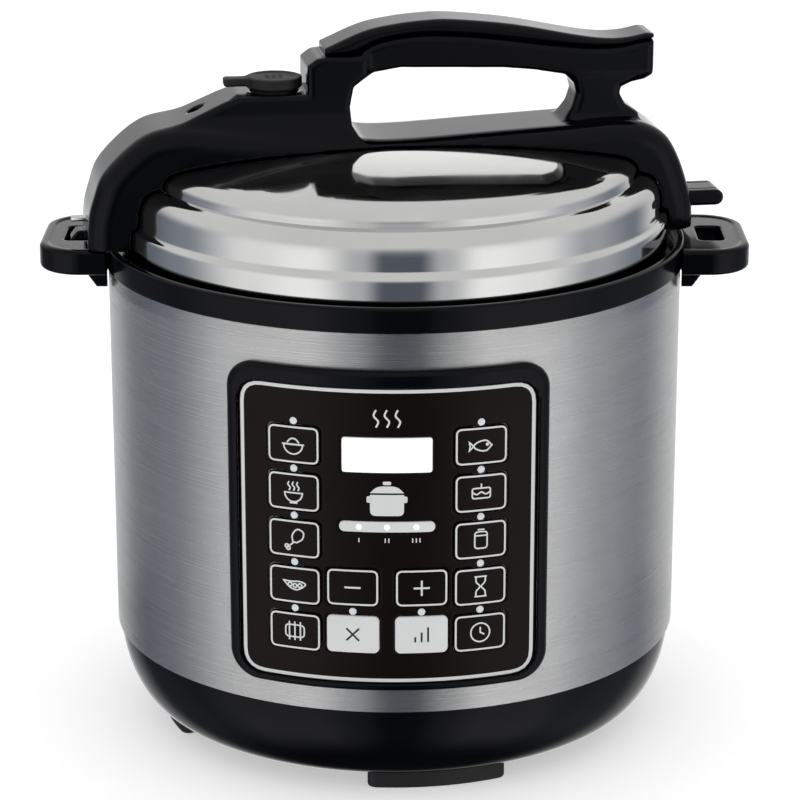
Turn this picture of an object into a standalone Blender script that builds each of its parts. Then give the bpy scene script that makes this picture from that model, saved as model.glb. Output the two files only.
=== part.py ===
"""Electric pressure cooker: a steel body on a plastic base, a key panel, a lift-out pot and a turning lid.

Metres. The origin is on the body's axis, on the surface that the feet stand on. +Z is up and the
control panel faces -Y. The lid's own axes (s along its handle, w across it) are turned by LID_YAW.
"""

import math

import bmesh
import bpy

# Body
STEPS = 40
GAP = 0.0003
SHELL_R = 0.135
SHELL_THICK = 0.0008
SHELL_Z = (0.0473, 0.2244)
BASE_TOP_R = 0.1335
BASE_FLAT_R = 0.1151
BASE_TOP_Z = 0.047
BASE_BOTTOM_Z = 0.0092
BASE_WALL = 0.0022
BASE_ROUNDNESS = 1.78
BASE_SPIGOT_TOP = 0.053
PLATE_R = 0.1122
PLATE_Z = (0.0098, 0.0118)
VENT_SIZE = (0.040, 0.004)
VENT_CORNER = 0.0019
VENT_PITCH = 0.010
VENT_ROWS = (-2, -1, 0, 1, 2)
FOOT_R = (0.097, 0.1135)
FOOT_TOP = 0.0095
FOOT_HALF_ANGLE = 17.0
FOOT_AZIMUTHS = (10.5, 100.5, 190.5, 280.5)

# Upper ring and ears
RING_R = 0.1365
RING_LIP_R = 0.133
RING_TOP_Z = 0.2362
RING_BOTTOM_Z = 0.2247
RING_LEDGE_Z = 0.2285
EAR_TIP = 0.166
EAR_HALF_WIDTH = 0.036
EAR_CORNER = 0.020
EAR_Z = (0.2235, 0.2355)
SLOT_CENTRE = 0.149
SLOT_SIZE = (0.012, 0.027)
EAR_RIB_OFFSETS = (-0.024, -0.008, 0.008, 0.024)
EAR_RIB_HALF_THICK = 0.0012
EAR_RIB = ((0.1356, 0.2255), (0.1356, 0.2155), (0.139, 0.2155), (0.146, 0.2255))

# Inner parts of the body
SHIELD_R = (0.1155, 0.1163)
SHIELD_Z = (0.022, 0.2215)
SHIELD_HOLE_R = 0.0050
SUPPORT_R = (0.1118, 0.1132)
SUPPORT_BOTTOM_Z = 0.045
FLANGE_Z = (0.2318, 0.2338)
LUG_COUNT = 8
LUG_R = 0.1215
LUG_GAP_R = 0.118
LUG_HALF_ANGLE = 4.4
HEATER_R = 0.0865
HEATER_Z = (0.044, 0.056)
SENSOR_R = 0.0125
SENSOR_Z = (0.040, 0.056)
SENSOR_STEM_R = 0.004
SPRING_WIRE_R = 0.0005
SPRING_R = 0.0065
SPRING_Z = (0.0231, 0.0394)
SPRING_TURNS = 4

# Lift-out pot
POT_R = 0.110
POT_WALL = 0.0014
POT_BOTTOM_Z = 0.0563
POT_CORNER = 0.0125
POT_RIM_R = 0.1165
POT_RIM_Z = (0.2341, 0.2353)

# Lid
LID_YAW = 9.0
DOME_R = 0.103
DOME_RIM_Z = 0.2745
DOME_RISE = 0.007
DOME_POWER = 2.7
COVER_THICK = 0.0008
LID_CLEARANCE = 0.0004
INNER_LID_R = 0.125
INNER_LID_SKIRT_Z = 0.2292
LID_LUG_R = 0.119
LID_LUG_Z = (0.2294, 0.2312)
LID_LUG_HALF_ANGLE = 4.2
SEAL_R = (0.1085, 0.116)
SEAL_Z = (0.2356, 0.244)
VALVE_S = -0.0565
FLOAT_S = -0.093
SCREW_PLACES = (-0.02, 0.09)

# Lid handle
ARM_LEFT_S = -0.1455
ARM_RIGHT_S = 0.1393
ARM_LEFT_CORNER = 0.005
ARM_RIGHT_CORNER = 0.010
ARM_BOTTOM_Z = 0.238
ARM_STOP = ((-0.1525, 0.2383), (-0.1525, 0.2395), (-0.1495, 0.243), (-0.143, 0.243), (-0.143, 0.2383))
ARM_STOP_HALF_WIDTH = 0.005
BEAM_HALF_WIDTH = 0.027
HOUSING_HALF_WIDTH = 0.0165
GRIP_HALF_WIDTH = 0.0135
TAB_Z = (0.245, 0.2525)
TAB_HALF_WIDTH = 0.0105
TAB_TIP = 0.157
TAB_ROOT = 0.1325
PLATFORM_Z = 0.3058

# Control panel
PANEL_STEPS = 96
PANEL_YAW = -1.3
BEZEL_R = (0.1353, 0.139)
BEZEL_HALF_WIDTH = 0.0714
BEZEL_Z = (0.0585, 0.2084)
BEZEL_CORNER = 0.013
FACE_R = (0.1356, 0.1372)
FACE_HALF_WIDTH = 0.0666
FACE_Z = (0.0625, 0.2005)
FACE_CORNER = 0.010
OPENING_HALF_WIDTH = 0.060
OPENING_Z = (0.066, 0.197)
KEY_R = (0.1362, 0.1378)
KEY_CORNER = 0.0025
SIDE_KEY_SIZE = (0.0242, 0.0176)
SIDE_KEY_ANGLE = 17.5
SIDE_KEY_TOP_Z = 0.1727
SIDE_KEY_PITCH = 0.02195
SIDE_KEY_ROWS = 5
MID_KEY_SIZE = (0.0236, 0.0176)
MID_KEY_ANGLE = 6.4
ADJUST_KEY_Z = 0.1078
LIGHT_KEY_Z = 0.0855
LIGHT_RISE = 0.0108
LIGHT_R = 0.0016
WINDOW_SIZE = (0.0399, 0.016)
WINDOW_Z = 0.1696
LEVEL_SIZE = (0.0425, 0.005)
LEVEL_Z = 0.1364
GUIDE_R = (0.1335, 0.1345)
BOARD_DISTANCE = 0.1207
BOARD_SIZE = (0.088, 0.0016, 0.112)

# Power inlet
INLET_SIZE = (0.034, 0.017, 0.023)
INLET_FACE_Y = 0.1345
INLET_Z = 0.033
INLET_MOUTH = (0.0245, 0.014, 0.0165)
INLET_PIN_SIZE = (0.002, 0.012, 0.003)
INLET_PIN_PLACES = ((-0.007, -0.001), (0.007, -0.001), (0.0, 0.004))

UPRIGHT = math.radians(90)


# ---------------------------------------------------------------------------------------------
# Scene, materials and small helpers


def clear_scene():
    for obj in list(bpy.data.objects):
        bpy.data.objects.remove(obj, do_unlink=True)


def new_collection(name):
    collection = bpy.data.collections.new(name)
    bpy.context.scene.collection.children.link(collection)
    return collection


def material(name, colour, roughness, metallic=0.0):
    made = bpy.data.materials.new(name)
    made.use_nodes = True
    shader = made.node_tree.nodes["Principled BSDF"]
    shader.inputs["Base Color"].default_value = (*colour, 1.0)
    shader.inputs["Roughness"].default_value = roughness
    shader.inputs["Metallic"].default_value = metallic
    return made


def add(obj, finish=None, parent=None, hidden=False):
    """Put an object in the parts or the cutters collection, with its material and its parent."""
    for collection in list(obj.users_collection):
        collection.objects.unlink(obj)
    (CUTTERS if hidden else PARTS).objects.link(obj)
    if hidden:
        obj.hide_render = True
        obj.display_type = "WIRE"
    if finish is not None and obj.data is not None:
        obj.data.materials.clear()
        obj.data.materials.append(finish)
    if parent is not None:
        obj.parent = parent
    return obj


def empty(name, location=(0, 0, 0), yaw=0.0, parent=None):
    holder = bpy.data.objects.new(name, None)
    holder.location = location
    holder.rotation_euler = (0, 0, math.radians(yaw))
    PARTS.objects.link(holder)
    holder.parent = parent
    return holder


def combine(obj, other, operation="DIFFERENCE"):
    """Cut, join or intersect an object with another, which is only a helper from then on."""
    boolean = obj.modifiers.new(operation.title() + " " + other.name, "BOOLEAN")
    boolean.operation = operation
    boolean.object = other
    boolean.solver = "EXACT"
    return obj


def soften(obj, width, segments=1, angle=50):
    bevel = obj.modifiers.new("Bevel", "BEVEL")
    bevel.width = width
    bevel.segments = segments
    bevel.limit_method = "ANGLE"
    bevel.angle_limit = math.radians(angle)
    return obj


def to_mesh(curve_object):
    """A mesh object with the curve object's shape, its caps welded, in the curve object's place."""
    bpy.context.view_layer.update()
    graph = bpy.context.evaluated_depsgraph_get()
    mesh = bpy.data.meshes.new_from_object(curve_object.evaluated_get(graph))
    bm = bmesh.new()
    bm.from_mesh(mesh)
    bmesh.ops.remove_doubles(bm, verts=bm.verts, dist=1e-6)
    bmesh.ops.recalc_face_normals(bm, faces=bm.faces)
    bm.to_mesh(mesh)
    bm.free()
    name = curve_object.name
    made = bpy.data.objects.new(name + "_mesh", mesh)
    made.matrix_world = curve_object.matrix_world
    bpy.data.objects.remove(curve_object, do_unlink=True)
    made.name = name
    return made


def slab(name, outlines, half_depth, location=(0, 0, 0), rotation=(0, 0, 0)):
    """A flat piece from closed outlines in its own XY plane, half_depth thick each way along its Z."""
    curve = bpy.data.curves.new(name, "CURVE")
    curve.dimensions = "2D"
    curve.fill_mode = "BOTH"
    curve.extrude = half_depth
    for outline in outlines:
        spline = curve.splines.new("POLY")
        spline.points.add(len(outline) - 1)
        for point, (x, y) in zip(spline.points, outline):
            point.co = (x, y, 0, 1)
        spline.use_cyclic_u = True
    obj = bpy.data.objects.new(name, curve)
    bpy.context.scene.collection.objects.link(obj)
    obj.location = location
    obj.rotation_euler = rotation
    return to_mesh(obj)


def profile_object(name, profile, closed, steps):
    mesh = bpy.data.meshes.new(name)
    edges = [(i, i + 1) for i in range(len(profile) - 1)]
    if closed:
        edges.append((len(profile) - 1, 0))
    mesh.from_pydata([(r, 0, z) for r, z in profile], edges, [])
    obj = bpy.data.objects.new(name, mesh)
    screw = obj.modifiers.new("Screw", "SCREW")
    screw.steps = steps
    screw.render_steps = steps
    screw.use_merge_vertices = True
    screw.merge_threshold = 0.0001
    screw.use_smooth_shade = True
    return obj


def turned(name, profile, steps=STEPS):
    """A turned solid. Its profile of (radius, z) runs down its outer side.

    The profile closes on itself unless both of its ends are on the axis.
    """
    on_axis = profile[0][0] == 0 and profile[-1][0] == 0
    return profile_object(name, profile, not on_axis, steps)


def turned_sheet(name, profile, thickness):
    """A turned sheet whose outer face has this open profile."""
    obj = profile_object(name, profile, False, STEPS)
    solidify = obj.modifiers.new("Solidify", "SOLIDIFY")
    solidify.thickness = thickness
    solidify.offset = -1
    return obj


def block(name, size, location, yaw=0.0):
    bm = bmesh.new()
    bmesh.ops.create_cube(bm, size=1.0)
    bmesh.ops.scale(bm, vec=size, verts=bm.verts)
    mesh = bpy.data.meshes.new(name)
    bm.to_mesh(mesh)
    bm.free()
    obj = bpy.data.objects.new(name, mesh)
    obj.location = location
    obj.rotation_euler = (0, 0, math.radians(yaw))
    return obj


def rod(name, radius, z_span, place=(0, 0), sides=16):
    """An upright cylinder at (x, y)."""
    bm = bmesh.new()
    length = z_span[1] - z_span[0]
    bmesh.ops.create_cone(
        bm, cap_ends=True, segments=sides, radius1=radius, radius2=radius, depth=length
    )
    mesh = bpy.data.meshes.new(name)
    bm.to_mesh(mesh)
    bm.free()
    obj = bpy.data.objects.new(name, mesh)
    obj.location = (place[0], place[1], (z_span[0] + z_span[1]) / 2)
    return obj


# ---------------------------------------------------------------------------------------------
# Outlines


def arc(centre, radius, start, end, steps):
    """Points on an arc, from one angle to the other in degrees."""
    angles = [math.radians(start + (end - start) * i / steps) for i in range(steps + 1)]
    return [
        (centre[0] + radius * math.cos(a), centre[1] + radius * math.sin(a))
        for a in angles
    ]


def rounded_rectangle(width, height, radius, steps=2, centre=(0, 0)):
    points = []
    for quarter, (sx, sy) in enumerate(((1, 1), (-1, 1), (-1, -1), (1, -1))):
        corner = (
            centre[0] + sx * (width / 2 - radius),
            centre[1] + sy * (height / 2 - radius),
        )
        points += arc(corner, radius, 90 * quarter, 90 * quarter + 90, steps)
    return points


def sector(r_span, middle, half_angle, steps=5):
    """A piece of a flat ring about the origin, with its middle at this azimuth from -Y towards +X."""
    start = middle - 90 - half_angle
    end = middle - 90 + half_angle
    outer = arc((0, 0), r_span[1], start, end, steps)
    inner = arc((0, 0), r_span[0], end, start, steps)
    return outer + inner


def smooth(points, spans=3):
    """A Catmull-Rom curve through the points, with this many steps in each span."""
    padded = [points[0], *points, points[-1]]
    curve = []
    for a, b, c, d in zip(padded, padded[1:], padded[2:], padded[3:]):
        for i in range(spans):
            t = i / spans
            curve.append(
                tuple(
                    0.5
                    * (
                        2 * q
                        + (r - p) * t
                        + (2 * p - 5 * q + 4 * r - s) * t * t
                        + (3 * q - p - 3 * r + s) * t**3
                    )
                    for p, q, r, s in zip(a, b, c, d)
                )
            )
    return curve + [points[-1]]


def base_outline(inset, steps=6):
    """The base's rounded wall from top to bottom, moved inwards by an inset."""
    points = []
    for i in range(steps + 1):
        t = math.radians(90 * i / steps)
        reach = BASE_TOP_R - BASE_FLAT_R
        drop = BASE_TOP_Z - BASE_BOTTOM_Z - inset
        r = BASE_FLAT_R - inset + reach * math.cos(t) ** (2 / BASE_ROUNDNESS)
        z = BASE_TOP_Z - drop * math.sin(t) ** (2 / BASE_ROUNDNESS)
        points.append((r, z))
    return points


def dome_height(r):
    """The height of the lid's crown, which falls away faster towards its rim."""
    return DOME_RIM_Z + DOME_RISE * (1 - (r / DOME_R) ** DOME_POWER)


def lid_outline(offset=0.0):
    """The stepped lid's outer face, from the middle of its top down to its lower edge."""
    crown = [(r, dome_height(r)) for r in (0.0, 0.032, 0.052, 0.068, 0.082, 0.093, DOME_R)]
    steps = [
        (0.1095, 0.2726),
        (0.1132, 0.2698),
        (0.115, 0.2664),
        (0.1205, 0.2638),
        (0.1245, 0.2585),
        (0.1262, 0.2487),
        (0.1284, 0.247),
        (0.129, 0.233),
    ]
    return [(r + offset if r else 0.0, z + offset) for r, z in crown + steps]


def grip_seam():
    """The joint between the grip and its top cap, as (s, z)."""
    return smooth(
        [(-0.034, 0.3232), (-0.0087, 0.3312), (0.0099, 0.3341), (0.0286, 0.3335)]
        + [(0.0473, 0.3315), (0.071, 0.3271), (0.09, 0.324), (0.104, 0.3237), (0.1137, 0.327)],
        2,
    )


# ---------------------------------------------------------------------------------------------
# Body


def make_base_cover():
    outer = base_outline(0.0)
    inner = base_outline(BASE_WALL, 4)
    spigot = [
        (BASE_TOP_R - BASE_WALL, BASE_SPIGOT_TOP),
        (BASE_TOP_R, BASE_SPIGOT_TOP),
    ]
    cover = turned("base_cover", spigot + outer + inner[::-1])
    size = [side + 2 * GAP for side in INLET_SIZE]
    hole = block("inlet_hole", (size[0], 0.05, size[2]), (0, INLET_FACE_Y, INLET_Z))
    combine(cover, add(hole, hidden=True))
    return add(cover, GLOSS_BLACK)


def make_bottom_plate():
    low, high = PLATE_Z
    plate = turned("bottom_plate", [(0, high), (PLATE_R, high), (PLATE_R, low), (0, low)])
    vent = rounded_rectangle(*VENT_SIZE, VENT_CORNER, 3)
    vents = [[(x, y + row * VENT_PITCH) for x, y in vent] for row in VENT_ROWS]
    cutter = slab("bottom_vents", vents, 0.01, (0, 0, low))
    combine(plate, add(cutter, hidden=True))
    return add(plate, MATTE_BLACK)


def make_feet():
    for number, azimuth in enumerate(FOOT_AZIMUTHS, 1):
        outline = sector(FOOT_R, azimuth, FOOT_HALF_ANGLE)
        foot = slab(f"foot_{number}", [outline], FOOT_TOP / 2, (0, 0, FOOT_TOP / 2))
        add(soften(foot, 0.0015), MATTE_BLACK)


def make_outer_shell():
    shell = turned_sheet(
        "outer_shell", [(SHELL_R, SHELL_Z[1]), (SHELL_R, SHELL_Z[0])], SHELL_THICK
    )
    opening = panel_prism("panel_opening", OPENING_HALF_WIDTH * 2, OPENING_Z, 0.008)
    combine(shell, add(opening, hidden=True))
    return add(shell, BRUSHED_STEEL)


def make_upper_ring():
    """The black ring on the shell: a lip round the lid, a ledge for the support pot, and the two ears."""
    skirt_r = SHELL_R - SHELL_THICK - 0.0006
    profile = [
        (RING_LIP_R, RING_TOP_Z),
        (RING_R - 0.0012, RING_TOP_Z),
        (RING_R, RING_TOP_Z - 0.0016),
        (RING_R, RING_BOTTOM_Z + GAP),
        (skirt_r, RING_BOTTOM_Z + GAP),
        (skirt_r, 0.217),
        (skirt_r - 0.002, 0.217),
        (skirt_r - 0.002, 0.2262),
        (SUPPORT_R[1] + 0.001, 0.2262),
        (SUPPORT_R[1] + 0.001, FLANGE_Z[0] - GAP),
        (LUG_GAP_R - 0.001, FLANGE_Z[0] - GAP),
        (LUG_GAP_R - 0.001, RING_LEDGE_Z),
        (RING_LIP_R, RING_LEDGE_Z),
    ]
    ring = turned("upper_ring", profile)
    core_r = RING_R - 0.0009
    core = turned("ear_core", [(0, 0.24), (core_r, 0.24), (core_r, 0.20), (0, 0.20)])
    add(core, hidden=True)
    for side, name in ((-1, "left"), (1, "right")):
        combine(ring, make_ear(side, name, core), "UNION")
    slots = []
    for side in (-1, 1):
        slots.append(rounded_rectangle(*SLOT_SIZE, 0.003, 3, (side * SLOT_CENTRE, 0)))
    cutter = slab("ear_slots", slots, 0.02, (0, 0, EAR_Z[0]))
    combine(ring, add(cutter, hidden=True))
    return add(ring, GLOSS_BLACK)


def make_ear(side, name, core):
    width = 2 * (EAR_TIP - 0.110)
    outline = rounded_rectangle(
        width, 2 * EAR_HALF_WIDTH, EAR_CORNER, 5, (side * 0.110, 0)
    )
    height = EAR_Z[1] - EAR_Z[0]
    ear = slab("ear_" + name, [outline], height / 2, (0, 0, EAR_Z[0] + height / 2))
    soften(ear, 0.0018)
    combine(ear, core)
    rib = [(side * x, z) for x, z in EAR_RIB]
    for number, offset in enumerate(EAR_RIB_OFFSETS, 1):
        place = (0, offset, 0)
        fin = slab(f"ear_{name}_rib_{number}", [rib], EAR_RIB_HALF_THICK, place, (UPRIGHT, 0, 0))
        combine(ear, add(fin, hidden=True), "UNION")
    return add(ear, hidden=True)


def make_heat_shield():
    """The cup of sheet metal round the support pot, whose floor carries the sensor's spring."""
    low, high = SHIELD_Z
    profile = [
        (SHIELD_R[0], high),
        (SHIELD_R[1], high),
        (SHIELD_R[1], low),
        (SHIELD_HOLE_R, low),
        (SHIELD_HOLE_R, low + 0.0008),
        (SHIELD_R[0], low + 0.0008),
    ]
    return add(turned("heat_shield", profile), ALUMINIUM)


def make_support_pot():
    """The pressure-bearing pot, whose flange is notched into the lugs that the lid turns under."""
    profile = [
        (SUPPORT_R[0], FLANGE_Z[1]),
        (LUG_R, FLANGE_Z[1]),
        (LUG_R, FLANGE_Z[0]),
        (SUPPORT_R[1], FLANGE_Z[0]),
        (SUPPORT_R[1], SUPPORT_BOTTOM_Z),
        (0.088, SUPPORT_BOTTOM_Z),
        (0.088, SUPPORT_BOTTOM_Z + 0.0014),
        (SUPPORT_R[0], SUPPORT_BOTTOM_Z + 0.0014),
    ]
    pot = turned("support_pot", profile)
    pitch = 360 / LUG_COUNT
    notches = [
        sector((LUG_GAP_R, LUG_R + 0.005), pitch * (i + 0.5), pitch / 2 - LUG_HALF_ANGLE, 3)
        for i in range(LUG_COUNT)
    ]
    cutter = slab("flange_notches", notches, 0.01, (0, 0, FLANGE_Z[0]))
    combine(pot, add(cutter, hidden=True))
    return add(pot, STEEL)


def make_heating_plate():
    hole_r = SENSOR_R + 0.0008
    profile = [
        (hole_r, HEATER_Z[1]),
        (HEATER_R - 0.002, HEATER_Z[1]),
        (HEATER_R, HEATER_Z[1] - 0.003),
        (HEATER_R, HEATER_Z[0]),
        (hole_r, HEATER_Z[0]),
    ]
    return add(turned("heating_plate", profile), ALUMINIUM)


def make_thermal_sensor():
    """A spring-loaded button in the middle of the heating plate, with a stem inside its spring."""
    holder = empty("sensor_axis")
    profile = [
        (0, SENSOR_Z[1]),
        (SENSOR_R - 0.001, SENSOR_Z[1]),
        (SENSOR_R, SENSOR_Z[1] - 0.001),
        (SENSOR_R, SENSOR_Z[0]),
        (SENSOR_STEM_R, SENSOR_Z[0]),
        (SENSOR_STEM_R, 0.028),
        (0, 0.028),
    ]
    add(turned("thermal_sensor", profile, 24), ALUMINIUM, holder)
    curve = bpy.data.curves.new("sensor_spring", "CURVE")
    curve.dimensions = "3D"
    curve.bevel_depth = SPRING_WIRE_R
    curve.bevel_resolution = 2
    curve.use_fill_caps = True
    per_turn = 8
    count = SPRING_TURNS * per_turn + 1
    low, high = SPRING_Z[0] + SPRING_WIRE_R, SPRING_Z[1] - SPRING_WIRE_R
    spline = curve.splines.new("POLY")
    spline.points.add(count - 1)
    for i, point in enumerate(spline.points):
        angle = 2 * math.pi * i / per_turn
        height = low + (high - low) * i / (count - 1)
        point.co = (SPRING_R * math.cos(angle), SPRING_R * math.sin(angle), height, 1)
    spring = bpy.data.objects.new("sensor_spring", curve)
    add(spring, STEEL)


def make_switch_and_boards():
    switch = block("pressure_switch", (0.022, 0.012, 0.014), (0.05, 0, 0.0301))
    plunger = rod("switch_plunger", 0.0025, (0.03, 0.0435), (0.055, 0))
    combine(switch, add(plunger, hidden=True), "UNION")
    add(switch, MATTE_BLACK)
    board = block("power_board", (0.1, 0.07, 0.0016), (0, 0, 0.0148))
    parts = (
        ("relay", (0.02, 0.016, 0.006), (-0.03, 0.012)),
        ("transformer", (0.026, 0.022, 0.006), (0.012, -0.012)),
        ("terminals", (0.012, 0.03, 0.005), (0.038, 0.01)),
    )
    for name, size, place in parts:
        lump = block(name, size, (*place, 0.0152 + size[2] / 2))
        combine(board, add(lump, hidden=True), "UNION")
    add(board, BOARD_GREEN)


def make_inlet():
    """The mains inlet at the back of the base: a socket with three pins."""
    depth = INLET_SIZE[1]
    socket = block("inlet_socket", INLET_SIZE, (0, INLET_FACE_Y - depth / 2, INLET_Z))
    soften(socket, 0.0015)
    mouth_size = (INLET_MOUTH[0], 2 * INLET_MOUTH[1], INLET_MOUTH[2])
    mouth = block("inlet_mouth", mouth_size, (0, INLET_FACE_Y, INLET_Z))
    combine(socket, add(mouth, hidden=True))
    add(socket, MATTE_BLACK)
    back = INLET_FACE_Y - INLET_MOUTH[1]
    for number, (x, z) in enumerate(INLET_PIN_PLACES, 1):
        length = INLET_PIN_SIZE[1]
        place = (x, back + GAP + length / 2, INLET_Z + z)
        pin = block(f"inlet_pin_{number}", INLET_PIN_SIZE, place)
        add(pin, BRASS)


# ---------------------------------------------------------------------------------------------
# Control panel


def radial(distance, angle, z):
    """A point at this distance from the body's axis, at an angle from the panel's middle."""
    azimuth = math.radians(PANEL_YAW + angle)
    return (distance * math.sin(azimuth), -distance * math.cos(azimuth), z)


def panel_prism(name, width, z_span, corner, angle=0.0):
    """A prism along the line of sight onto the panel, for cutting or bounding its curved pieces."""
    outline = rounded_rectangle(width, z_span[1] - z_span[0], corner)
    centre = radial(0.136, angle, (z_span[0] + z_span[1]) / 2)
    yaw = math.radians(PANEL_YAW + angle)
    return slab(name, [outline], 0.03, centre, (UPRIGHT, 0, yaw))


def curved_plate(name, r_span, width, z_span, corner, angle=0.0):
    """A plate that follows the body's curve, with the outline of its prism."""
    margin = 0.004
    low, high = z_span[0] - margin, z_span[1] + margin
    ring = turned(
        name,
        [(r_span[0], high), (r_span[1], high), (r_span[1], low), (r_span[0], low)],
        PANEL_STEPS,
    )
    prism = panel_prism(name + "_bounds", width, z_span, corner, angle)
    return combine(ring, add(prism, hidden=True), "INTERSECT")


def pegs(name, radius, r_span, places):
    """Short round pegs along the panel's normals, at (angle, z) places."""
    bm = bmesh.new()
    length = r_span[1] - r_span[0]
    for _ in places:
        bmesh.ops.create_cone(
            bm, cap_ends=True, segments=8, radius1=radius, radius2=radius, depth=length
        )
    bm.verts.ensure_lookup_table()
    per_peg = len(bm.verts) // len(places)
    for number, (angle, z) in enumerate(places):
        verts = bm.verts[number * per_peg : (number + 1) * per_peg]
        azimuth = math.radians(PANEL_YAW + angle)
        centre = radial((r_span[0] + r_span[1]) / 2, angle, z)
        for vert in verts:
            across, up, along = vert.co
            vert.co = (
                centre[0] + across * math.cos(azimuth) + along * math.sin(azimuth),
                centre[1] + across * math.sin(azimuth) - along * math.cos(azimuth),
                centre[2] + up,
            )
    mesh = bpy.data.meshes.new(name)
    bm.to_mesh(mesh)
    bm.free()
    return bpy.data.objects.new(name, mesh)


def key_places():
    """(name, angle, z, size, finish) of every key."""
    places = []
    for side, angle in (("left", -SIDE_KEY_ANGLE), ("right", SIDE_KEY_ANGLE)):
        for row in range(SIDE_KEY_ROWS):
            z = SIDE_KEY_TOP_Z - row * SIDE_KEY_PITCH
            places.append((f"key_{side}_{row + 1}", angle, z, SIDE_KEY_SIZE, PANEL_BLACK))
    places.append(("key_minus", -MID_KEY_ANGLE, ADJUST_KEY_Z, MID_KEY_SIZE, PANEL_BLACK))
    places.append(("key_plus", MID_KEY_ANGLE, ADJUST_KEY_Z, MID_KEY_SIZE, PANEL_BLACK))
    places.append(("key_cancel", -MID_KEY_ANGLE, LIGHT_KEY_Z, MID_KEY_SIZE, KEY_GREY))
    places.append(("key_pressure", MID_KEY_ANGLE, LIGHT_KEY_Z, MID_KEY_SIZE, KEY_GREY))
    return places


def span(middle, size, extra=0.0):
    return (middle - size / 2 - extra, middle + size / 2 + extra)


def light_places():
    """(angle, z) of the signal lights, by the light guide that holds them."""
    rows = [SIDE_KEY_TOP_Z - row * SIDE_KEY_PITCH + LIGHT_RISE for row in range(SIDE_KEY_ROWS)]
    return {
        "left": [(-SIDE_KEY_ANGLE, z) for z in rows],
        "right": [(SIDE_KEY_ANGLE, z) for z in rows],
        "centre": [(-MID_KEY_ANGLE, LIGHT_KEY_Z + LIGHT_RISE), (MID_KEY_ANGLE, LIGHT_KEY_Z + LIGHT_RISE)],
    }


def make_panel():
    bezel = curved_plate("panel_bezel", BEZEL_R, BEZEL_HALF_WIDTH * 2, BEZEL_Z, BEZEL_CORNER)
    clear = span((FACE_Z[0] + FACE_Z[1]) / 2, FACE_Z[1] - FACE_Z[0], GAP)
    opening = panel_prism("bezel_opening", 2 * (FACE_HALF_WIDTH + GAP), clear, FACE_CORNER + GAP)
    combine(bezel, add(opening, hidden=True))
    add(bezel, GLOSS_BLACK)
    face = curved_plate("panel_face", FACE_R, FACE_HALF_WIDTH * 2, FACE_Z, FACE_CORNER)
    windows = (
        ("display_window", WINDOW_SIZE, WINDOW_Z, LENS_WHITE),
        ("level_window", LEVEL_SIZE, LEVEL_Z, LENS_WHITE),
    )
    for name, (width, height), z, finish in windows:
        hole = panel_prism(name + "_hole", width + 2 * GAP, span(z, height, GAP), 0.0015)
        combine(face, add(hole, hidden=True))
        window = curved_plate(name, FACE_R, width, span(z, height), 0.0012)
        add(window, finish)
    for name, angle, z, (width, height), finish in key_places():
        hole = panel_prism(name + "_hole", width + 2 * GAP, span(z, height, GAP), KEY_CORNER, angle)
        combine(face, add(hole, hidden=True))
        holder = empty(name + "_axis", radial(KEY_R[0], angle, z))
        key = curved_plate(name, KEY_R, width, span(z, height), KEY_CORNER, angle)
        key.location = [-value for value in holder.location]
        add(key, finish, holder)
    for side, places in light_places().items():
        holes = pegs(f"light_holes_{side}", LIGHT_R + GAP, (0.134, 0.14), places)
        combine(face, add(holes, hidden=True))
        make_light_guide(side, places)
    add(face, PANEL_BLACK)


def make_light_guide(side, places):
    """A clear strip behind the face, with a peg that shows through it for each signal light."""
    angles = [angle for angle, _ in places]
    heights = [z for _, z in places]
    middle = (min(angles) + max(angles)) / 2
    reach = GUIDE_R[1] * math.radians(max(angles) - min(angles))
    bounds = (min(heights) - 0.002, max(heights) + 0.002)
    guide = curved_plate(f"light_guide_{side}", GUIDE_R, reach + 0.006, bounds, 0.001, middle)
    combine(guide, add(pegs(f"light_pegs_{side}", LIGHT_R, (0.134, 0.1374), places), hidden=True), "UNION")
    add(guide, LENS_WHITE)


def make_board_and_display():
    board = block("control_board", BOARD_SIZE, radial(BOARD_DISTANCE, 0, 0.132), PANEL_YAW)
    add(board, BOARD_GREEN)
    display = block("display_module", (0.038, 0.0085, 0.014), radial(0.1263, 0, WINDOW_Z), PANEL_YAW)
    add(display, MATTE_BLACK)


# ---------------------------------------------------------------------------------------------
# Pot and lid


def make_inner_pot():
    inner_r = POT_R - POT_WALL
    floor_z = POT_BOTTOM_Z + POT_WALL
    inside = arc((inner_r - POT_CORNER, floor_z + POT_CORNER), POT_CORNER, -90, 0, 3)
    outside_corner = POT_CORNER + POT_WALL
    outside = arc((POT_R - outside_corner, POT_BOTTOM_Z + outside_corner), outside_corner, 0, -90, 3)
    rim = [
        (inner_r, POT_RIM_Z[1]),
        (POT_RIM_R, POT_RIM_Z[1]),
        (POT_RIM_R, POT_RIM_Z[0]),
        (POT_R, POT_RIM_Z[0]),
    ]
    profile = [(0, floor_z)] + inside + rim + outside + [(0, POT_BOTTOM_Z)]
    holder = empty("pot_axis")
    return add(turned("inner_pot", profile), POT_GREY, holder)


def make_sealing_ring(seal_axis):
    low, high = SEAL_Z
    profile = [
        (SEAL_R[0], high),
        (SEAL_R[1], high),
        (SEAL_R[1], low),
        (SEAL_R[0], low),
        (SEAL_R[0], low + 0.0018),
        (0.113, 0.239),
        (0.113, 0.241),
        (SEAL_R[0], high - 0.0016),
    ]
    return add(turned("sealing_ring", profile), SILICONE, seal_axis)


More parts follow.
